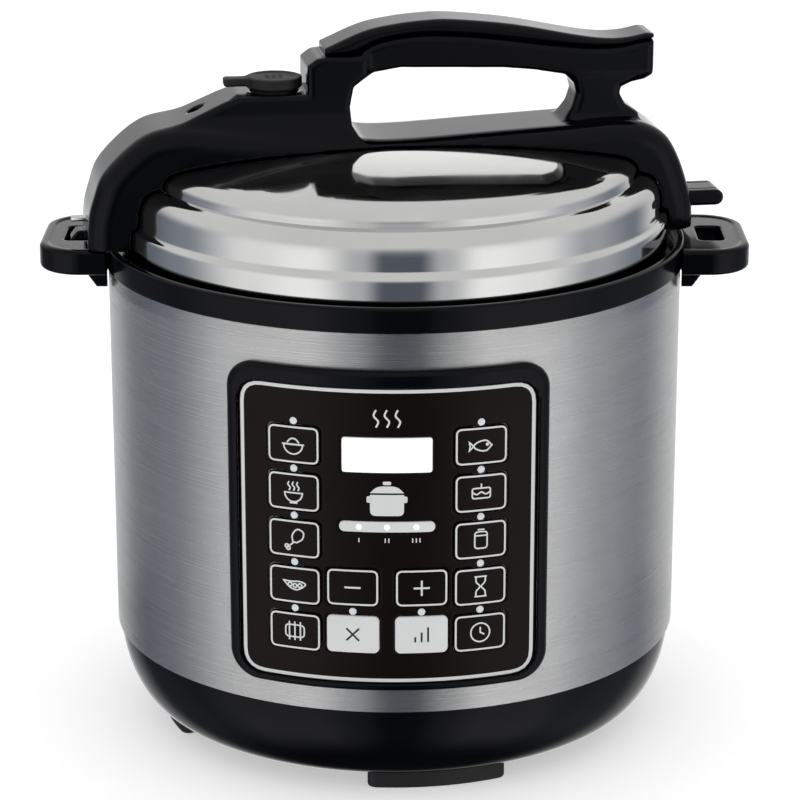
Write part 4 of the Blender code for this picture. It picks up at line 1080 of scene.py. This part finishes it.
def make_pot():
    radius, wall, bottom, corner = 0.110, 0.0014, 0.0563, 0.0125
    inner = radius - wall
    floor = bottom + wall
    rim_r = 0.1165
    low, high = 0.2341, 0.2353
    inside = arc((inner - corner, floor + corner), corner, -90, 0, 10)
    rim = [(inner, high, 0.0012), (rim_r, high, 0.0006), (rim_r, low, 0.0006), (radius, low, 0.0008)]
    lip = rounded([(inner, high - 0.002)] + rim, False, 5)
    outside = arc((radius - corner - wall, bottom + corner + wall), corner + wall, 0, -90, 10)
    profile = [(0, floor)] + inside + lip + [(radius, low - 0.001)] + outside + [(0, bottom)]
    piece("pot_skin", turned(profile), COATING, "pot_coating", "pot", ("inner_pot",))
    marks = []
    for level in range(5):
        height = 0.110 + 0.022 * level
        half = 5.0 if level % 2 == 0 else 3.2
        marks.append(sector_plate((inner - 0.00012, inner + 0.0002), (height, height + 0.0006), 62, half, 6))
    piece("pot_level_marks", merged(marks), GREY_KEY, "pot_coating", "pot")


# ---------------------------------------------------------------------------------------------
# Lid


def dome_height(r):
    return DOME_RIM_Z + DOME_RISE * (1 - (r / DOME_R) ** DOME_POWER)


def cover_profile():
    """The stepped lid's outer face, from the middle of its top to its lower edge."""
    crown = [(r, dome_height(r)) for r in np.linspace(0, DOME_R, 34)]
    shoulder = [(DOME_R, DOME_RIM_Z), (0.1090, 0.2729), (0.1126, 0.2703), (0.1138, 0.2672)]
    second = [(0.1160, 0.2657), (0.1200, 0.2643), (0.1232, 0.2608), (0.1246, 0.2560), (0.1252, 0.2497)]
    third = [(0.1266, 0.2479), (0.1279, 0.2467), (0.1285, 0.2440), (0.1288, 0.2380), (0.1289, 0.2332)]
    steps = smooth(shoulder)[1:] + [(0.1141, 0.2661)] + smooth(second) + [(0.1254, 0.2486)] + smooth(third)
    return crown + steps


def solid_under(profile, clearance):
    """A closed outline of everything under the lid's outer face, moved outwards by a clearance."""
    outer = [(r + (clearance if r else 0), z + clearance) for r, z in profile]
    return outer + [(0.1294, 0.20), (0.0, 0.20)]


def turned_field(outline, x, y, z):
    """Distance to a turned solid, from a table over its radius and height."""
    radii = np.arange(0, 0.175, 0.0006)
    levels = np.ravel(z)
    table = outline_distance(outline, radii[:, None], levels[None, :])
    r = np.broadcast_to(np.hypot(x, y), (x.shape[0], y.shape[1], 1))[:, :, 0]
    return np.stack([np.interp(r, radii, table[:, k]) for k in range(len(levels))], axis=2)


def beam_outline():
    """The bridge and arms seen along w. It runs on below the arms, which are cut flat there."""
    below = ARM_BOTTOM_Z - 2 * BEAM_ROUNDING
    left = [(ARM_LEFT_S, below), (ARM_LEFT_S, 0.247), (-0.1425, 0.2612), (-0.1365, 0.2745)]
    left += [(-0.1187, 0.290), (-0.0996, 0.2936)]
    top = [(-0.0746, 0.2912), (-0.0226, 0.2856), (0.0, 0.2844), (0.0444, 0.2866), (0.0774, 0.2882)]
    right = [(0.108, 0.2896), (0.1235, 0.284), (0.1315, 0.273), (0.1375, 0.256)]
    right += [(ARM_RIGHT_S, 0.2465), (ARM_RIGHT_S, below)]
    return smooth(left + top + right, 5)


def housing_outline():
    slope = [(-0.1105, 0.284), (-0.1105, 0.2905), (-0.0957, 0.2969), (-0.0816, 0.3032)]
    leg = [(-0.0745, 0.3058), (-0.0425, 0.3058), (-0.0425, 0.319), (-0.038, 0.3222), (-0.034, 0.3228)]
    inside = [(-0.0145, 0.3228), (-0.0145, 0.314), (-0.021, 0.3086), (-0.023, 0.2997)]
    return slope + leg + inside + [(-0.0225, 0.2915), (-0.018, 0.284)]


def seam_line():
    """The parting line between the grip and its cap."""
    line = [(-0.034, 0.3229), (-0.0218, 0.3234), (-0.0087, 0.3292), (0.0099, 0.3318), (0.0286, 0.3312)]
    line += [(0.0473, 0.3292), (0.071, 0.3258), (0.090, 0.3237), (0.1042, 0.3237), (0.1137, 0.3255)]
    return smooth(line + [(0.121, 0.3265)], 4)


def grip_outline():
    seam = [(s, z - CAP_SEAM_GAP) for s, z in seam_line()]
    end = [(0.121, 0.3093), (0.117, 0.307), (0.111, 0.3058), (0.1062, 0.3035)]
    neck = [(0.1057, 0.3005), (0.1082, 0.2956), (0.1145, 0.2914), (0.1145, 0.284), (0.0775, 0.284)]
    inside = [(0.0796, 0.2904), (0.0829, 0.2951), (0.0847, 0.3012), (0.0836, 0.306), (0.079, 0.3106)]
    under = [(0.064, 0.3134), (0.05, 0.3148), (0.026, 0.3156), (0.001, 0.3164), (-0.0115, 0.3144)]
    return seam + end + neck + inside + under + [(-0.02, 0.309), (-0.034, 0.309)]


def cap_outline():
    top = [(-0.034, 0.3262), (-0.016, 0.3338), (-0.002, 0.3367), (0.012, 0.3381), (0.026, 0.3382)]
    top += [(0.0545, 0.335), (0.083, 0.3294), (0.0975, 0.3273), (0.108, 0.3274), (0.1175, 0.3292)]
    seam = [(s, z + CAP_SEAM_GAP) for s, z in seam_line()]
    return smooth(top, 4) + [(0.121, 0.3288), (0.121, 0.3268)] + seam[::-1]


def make_handle():
    lid_solid = solid_under(cover_profile(), 0.0004)

    def handle(s, w, z):
        side = outline_distance(beam_outline(), s, z)
        beam = meet(side, np.abs(w) - BEAM_HALF_WIDTH, BEAM_ROUNDING)
        beam = np.maximum(beam, ARM_BOTTOM_Z - z)
        beam = cut(beam, turned_field(lid_solid, s, w, z), 0.0005)
        flare = np.interp(z, *HOUSING_FLARE)
        housing = meet(outline_distance(housing_outline(), s, z), np.abs(w) - flare, 0.0022)
        neck = np.where(z < NECK_TOP, np.interp(z, *NECK_WIDTHS), GRIP_HALF_WIDTH)
        half = np.where(s > NECK_S, neck, GRIP_HALF_WIDTH)
        grip = meet(outline_distance(grip_outline(), s, z), np.abs(w) - half, 0.0034)
        whole = join(join(beam, housing, 0.0022), grip, 0.0020)
        stop = outline_distance(ARM_STOP, s, z)
        whole = np.minimum(whole, meet(stop, np.abs(w) - ARM_STOP_HALF_WIDTH, 0.0004))
        pocket = np.maximum(np.hypot(s - VALVE_S, w) - 0.0113, 0.3005 - z)
        whole = cut(whole, pocket, 0.0006)
        well = np.maximum(np.hypot(s - FLOAT_S, w) - 0.0036, 0.27 - z)
        whole = cut(whole, well, 0.0004)
        height = np.abs(z - sum(TAB_Z) / 2) - (TAB_Z[1] - TAB_Z[0]) / 2
        tab_socket = np.maximum(np.abs(w) - TAB_HALF_WIDTH, height) - GAP
        whole = np.maximum(whole, -np.maximum(tab_socket, TAB_ROOT - GAP - s))
        return np.maximum(whole, -turned_field(lid_solid, s, w, z))

    low = (ARM_STOP[0][0], -BEAM_HALF_WIDTH, ARM_BOTTOM_Z)
    high = (ARM_RIGHT_S, BEAM_HALF_WIDTH, 0.332)
    points, faces = surface_net(handle, low, high, COARSE)
    piece("handle_body", (yawed(points), faces), GLOSS_BLACK, "gloss_black", "lid", ("lid_handle",), 50)

    def cap(s, w, z):
        return meet(outline_distance(cap_outline(), s, z), np.abs(w) - GRIP_HALF_WIDTH, 0.0036)

    low, high = (-0.034, -GRIP_HALF_WIDTH, 0.3229), (0.121, GRIP_HALF_WIDTH, 0.3383)
    points, faces = surface_net(cap, low, high, 0.0006)
    piece("handle_cap", (yawed(points), faces), GLOSS_BLACK, "gloss_black", "lid", ("grip_cap",), 50)


def make_tab_and_pin():
    low, high = TAB_Z
    radius = (high - low) / 2
    end = arc((TAB_TIP - radius, (low + high) / 2), radius, -90, 90, 16)
    outline = [(TAB_ROOT, low)] + end + [(TAB_ROOT, high)]

    def tab(s, w, z):
        body = meet(outline_distance(outline, s, z), np.abs(w) - TAB_HALF_WIDTH, 0.0012)
        groove = np.maximum(np.abs(np.abs(w) - 0.0062) - 0.0003, high - 0.0004 - z)
        return cut(body, groove)

    corners = (TAB_ROOT, -TAB_HALF_WIDTH, low), (TAB_TIP, TAB_HALF_WIDTH, high)
    points, faces = surface_net(tab, *corners, 0.0004)
    piece("tab_tongue", (yawed(points), faces), GLOSS_BLACK, "gloss_black", "lid", ("stand_tab",), 50)
    top = [(0, PIN_HALF_LENGTH), (PIN_R - 0.0004, PIN_HALF_LENGTH), (PIN_R, PIN_HALF_LENGTH - 0.0004)]
    points, faces = turned(top + [(PIN_R, -PIN_HALF_LENGTH), (0, -PIN_HALF_LENGTH)], 32)
    points = [(PIN_PLACE[0] - z, y, PIN_PLACE[1] + x) for x, y, z in points]
    piece("pin_rod", (yawed(points), faces), POLISHED, "polished_steel", "lid", ("guide_pin",), 50)


def make_cover():
    outer = cover_profile()
    lowest = outer[-1][1]
    inner = [(max(r - COVER_THICK, 0.0), max(z - COVER_THICK, lowest)) for r, z in outer]
    piece("lid_skin", turned(outer + inner[::-1], 256), POLISHED, "polished_steel", "lid", ("lid_cover",), 50)


def make_inner_lid():
    wall = 0.0014
    profile = rounded(
        [
            (0, 0.252), (0.103, 0.252, 0.0015), (0.105, 0.2463, 0.0015), (0.122, 0.2463, 0.001),
            (0.125, 0.244, 0.001), (0.125, 0.2292), (0.125 - wall, 0.2292), (0.125 - wall, 0.243, 0.0008),
            (0.1215, 0.2443, 0.0006),
            (0.1035, 0.2443, 0.001), (0.1015, 0.25, 0.0012), (0, 0.25),
        ],
        False,
        5,
    )
    shapes = [turned(profile)]
    for i in range(LUG_COUNT):
        shapes.append(sector_plate((0.119, 0.1243), (0.2294, 0.2312), 360 / LUG_COUNT * i + LID_YAW, 4.2))
    piece("inner_lid_skin", merged(shapes), PRESSED, "pressed_steel", "lid", ("inner_lid",), 50)


def make_seal():
    low, high = 0.2356, 0.244
    profile = rounded(
        [
            (0.1085, high, 0.0006), (0.116, high, 0.0006), (0.116, low, 0.0008), (0.1085, low, 0.0006),
            (0.1085, low + 0.0018, 0.0005), (0.113, 0.239, 0.0006), (0.113, 0.241, 0.0006),
            (0.1085, high - 0.0016, 0.0005),
        ],
        True,
        5,
    )
    piece("seal_skin", turned(profile), SILICONE, "silicone", "seal", ("sealing_ring",), 50)


def make_valve():
    profile = rounded(
        [
            (0, 0.3118), (0.0095, 0.3118, 0.0004), (0.0105, 0.3125, 0.0004), (0.013, 0.3122, 0.0006),
            (0.013, 0.3075, 0.0006), (0.0105, 0.3068, 0.0005), (0.0105, 0.301), (0.0036, 0.301),
            (0.0036, 0.3084), (0, 0.3084),
        ],
        False,
        5,
    )
    tab = [(-0.006, 0.006), (-0.012, 0.0044), (-0.017, 0.0036), (-0.0215, 0.0042), (-0.0235, 0.0030)]
    tab = smooth(tab, 5)
    tab = tab + [(x, -y) for x, y in reversed(tab)]

    def valve(x, y, z):
        weight = turned_field(profile, x, y, z)
        lever = meet(outline_distance(tab, x, y), np.abs(z - 0.3101) - 0.0019, 0.0009)
        whole = join(weight, lever, 0.0008)
        for place_x in (-0.0032, 0.0, 0.0032):
            line = np.abs(x - place_x - 0.0008 * np.sin(y / 0.0011)) - 0.0004
            whole = cut(whole, np.maximum(np.maximum(line, np.abs(y) - 0.0042), 0.3114 - z), 0.0)
        return whole

    points, faces = surface_net(valve, (-0.0235, -0.013, 0.301), (0.013, 0.013, 0.3125), FINE)
    points = points + (VALVE_S, 0, 0)
    piece("valve_weight", (yawed(points), faces), MATTE_BLACK, "matte_black", "valve", ("steam_valve",), 50)


# ---------------------------------------------------------------------------------------------
# Studio


def blend_colours(tree, factor, low, high, plain):
    """Mixes from low to high by a factor. Whichever of the two is None is the plain colour."""
    mix = add_node(tree, "Mix")
    mix.data_type = "RGBA"
    sockets = {socket.name: socket for socket in mix.inputs if socket.type == "RGBA"}
    tree.links.new(factor, mix.inputs[0])
    for name, source in (("A", low), ("B", high)):
        if source is None:
            sockets[name].default_value = (*plain, 1)
        else:
            tree.links.new(source, sockets[name])
    return next(socket for socket in mix.outputs if socket.type == "RGBA")


def make_world():
    world = bpy.data.worlds.new("studio")
    bpy.context.scene.world = world
    world.use_nodes = True
    tree = world.node_tree
    tree.nodes.clear()
    place_node = add_node(tree, "TexCoord")
    parts = add_node(tree, "SeparateXYZ")
    tree.links.new(place_node.outputs["Generated"], parts.inputs[0])
    turn = add_node(tree, "Math")
    turn.operation = "MULTIPLY"
    turn.inputs[1].default_value = -1.0
    tree.links.new(parts.outputs["Y"], turn.inputs[0])
    angle = add_node(tree, "Math")
    angle.operation = "ARCTAN2"
    tree.links.new(parts.outputs["X"], angle.inputs[0])
    tree.links.new(turn.outputs[0], angle.inputs[1])
    share = add_node(tree, "MapRange", From_Min=-math.pi, From_Max=math.pi)
    tree.links.new(angle.outputs[0], share.inputs["Value"])
    ramp = add_node(tree, "ValToRGB")
    ramp.color_ramp.interpolation = "EASE"
    stops = ramp.color_ramp.elements
    for number, (azimuth, level) in enumerate(STUDIO):
        last = number == len(STUDIO) - 1
        if number == 0 or last:
            stop = stops[-1 if last else 0]
        else:
            stop = stops.new((azimuth + 180) / 360)
        cool = max(0.0, 1 - level / 0.5)
        stop.color = (*(level * (1 + cool * (c - 1)) for c in SHADE_TINT), 1)
    tree.links.new(share.outputs[0], ramp.inputs[0])
    blends = []
    for low, high in (OVERHEAD_SPAN, UNDER_SPAN):
        blend = add_node(tree, "MapRange", From_Min=low, From_Max=high)
        blend.interpolation_type = "SMOOTHSTEP"
        tree.links.new(parts.outputs["Z"], blend.inputs["Value"])
        blends.append(blend)
    lift, drop = blends
    above = blend_colours(tree, lift.outputs[0], ramp.outputs[0], None, (OVERHEAD,) * 3)
    whole = blend_colours(tree, drop.outputs[0], None, above, (UNDER,) * 3)
    background = add_node(tree, "Background", Strength=WORLD_STRENGTH)
    tree.links.new(whole, background.inputs["Color"])
    plain = add_node(tree, "Background", Color=(1, 1, 1, 1))
    path = add_node(tree, "LightPath")
    choose = add_node(tree, "MixShader")
    tree.links.new(path.outputs["Is Camera Ray"], choose.inputs[0])
    tree.links.new(background.outputs[0], choose.inputs[1])
    tree.links.new(plain.outputs[0], choose.inputs[2])
    output = add_node(tree, "OutputWorld")
    tree.links.new(choose.outputs[0], output.inputs[0])


def make_floor():
    material, tree = new_material("pale_floor")
    glow = dict(Emission_Color=(1, 1, 1, 1), Emission_Strength=FLOOR_GLOW)
    surface(tree, (0.9, 0.9, 0.9), 0.9, **glow)
    mesh = bpy.data.meshes.new("floor")
    half = 4.0
    corners = [(-half, -half, 0), (half, -half, 0), (half, half, 0), (-half, half, 0)]
    mesh.from_pydata(corners, [], [(0, 1, 2, 3)])
    mesh.materials.append(material)
    floor = bpy.data.objects.new("floor", mesh)
    bpy.context.scene.collection.objects.link(floor)
    floor.location.z = cad_bounds[0][2] - 0.0002
    floor.visible_glossy = False


def make_camera():
    data = bpy.data.cameras.new("camera")
    data.lens = CAMERA_LENS
    data.sensor_width = 36
    camera = bpy.data.objects.new("camera", data)
    camera.location = CAMERA_PLACE
    camera.rotation_euler = (math.radians(90 - CAMERA_TILT), 0, 0)
    bpy.context.scene.collection.objects.link(camera)
    bpy.context.scene.camera = camera


def finish_hidden_nodes():
    """Every node that is still shown takes its procedural finish."""
    for name, material in HIDDEN_FINISH.items():
        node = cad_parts[name]
        node.data.materials.clear()
        node.data.materials.append(material)


make_camera()
make_world()
make_floor()
bpy.context.scene.view_settings.view_transform = "Standard"
make_base()
make_feet()
make_shell()
make_ring()
make_inlet()
make_cooker_inside()
make_spring()
make_bezel()
make_face()
make_face_prints()
make_keys()
make_lights()
make_pot()
make_cover()
make_inner_lid()
make_seal()
make_handle()
make_tab_and_pin()
make_valve()
finish_hidden_nodes()
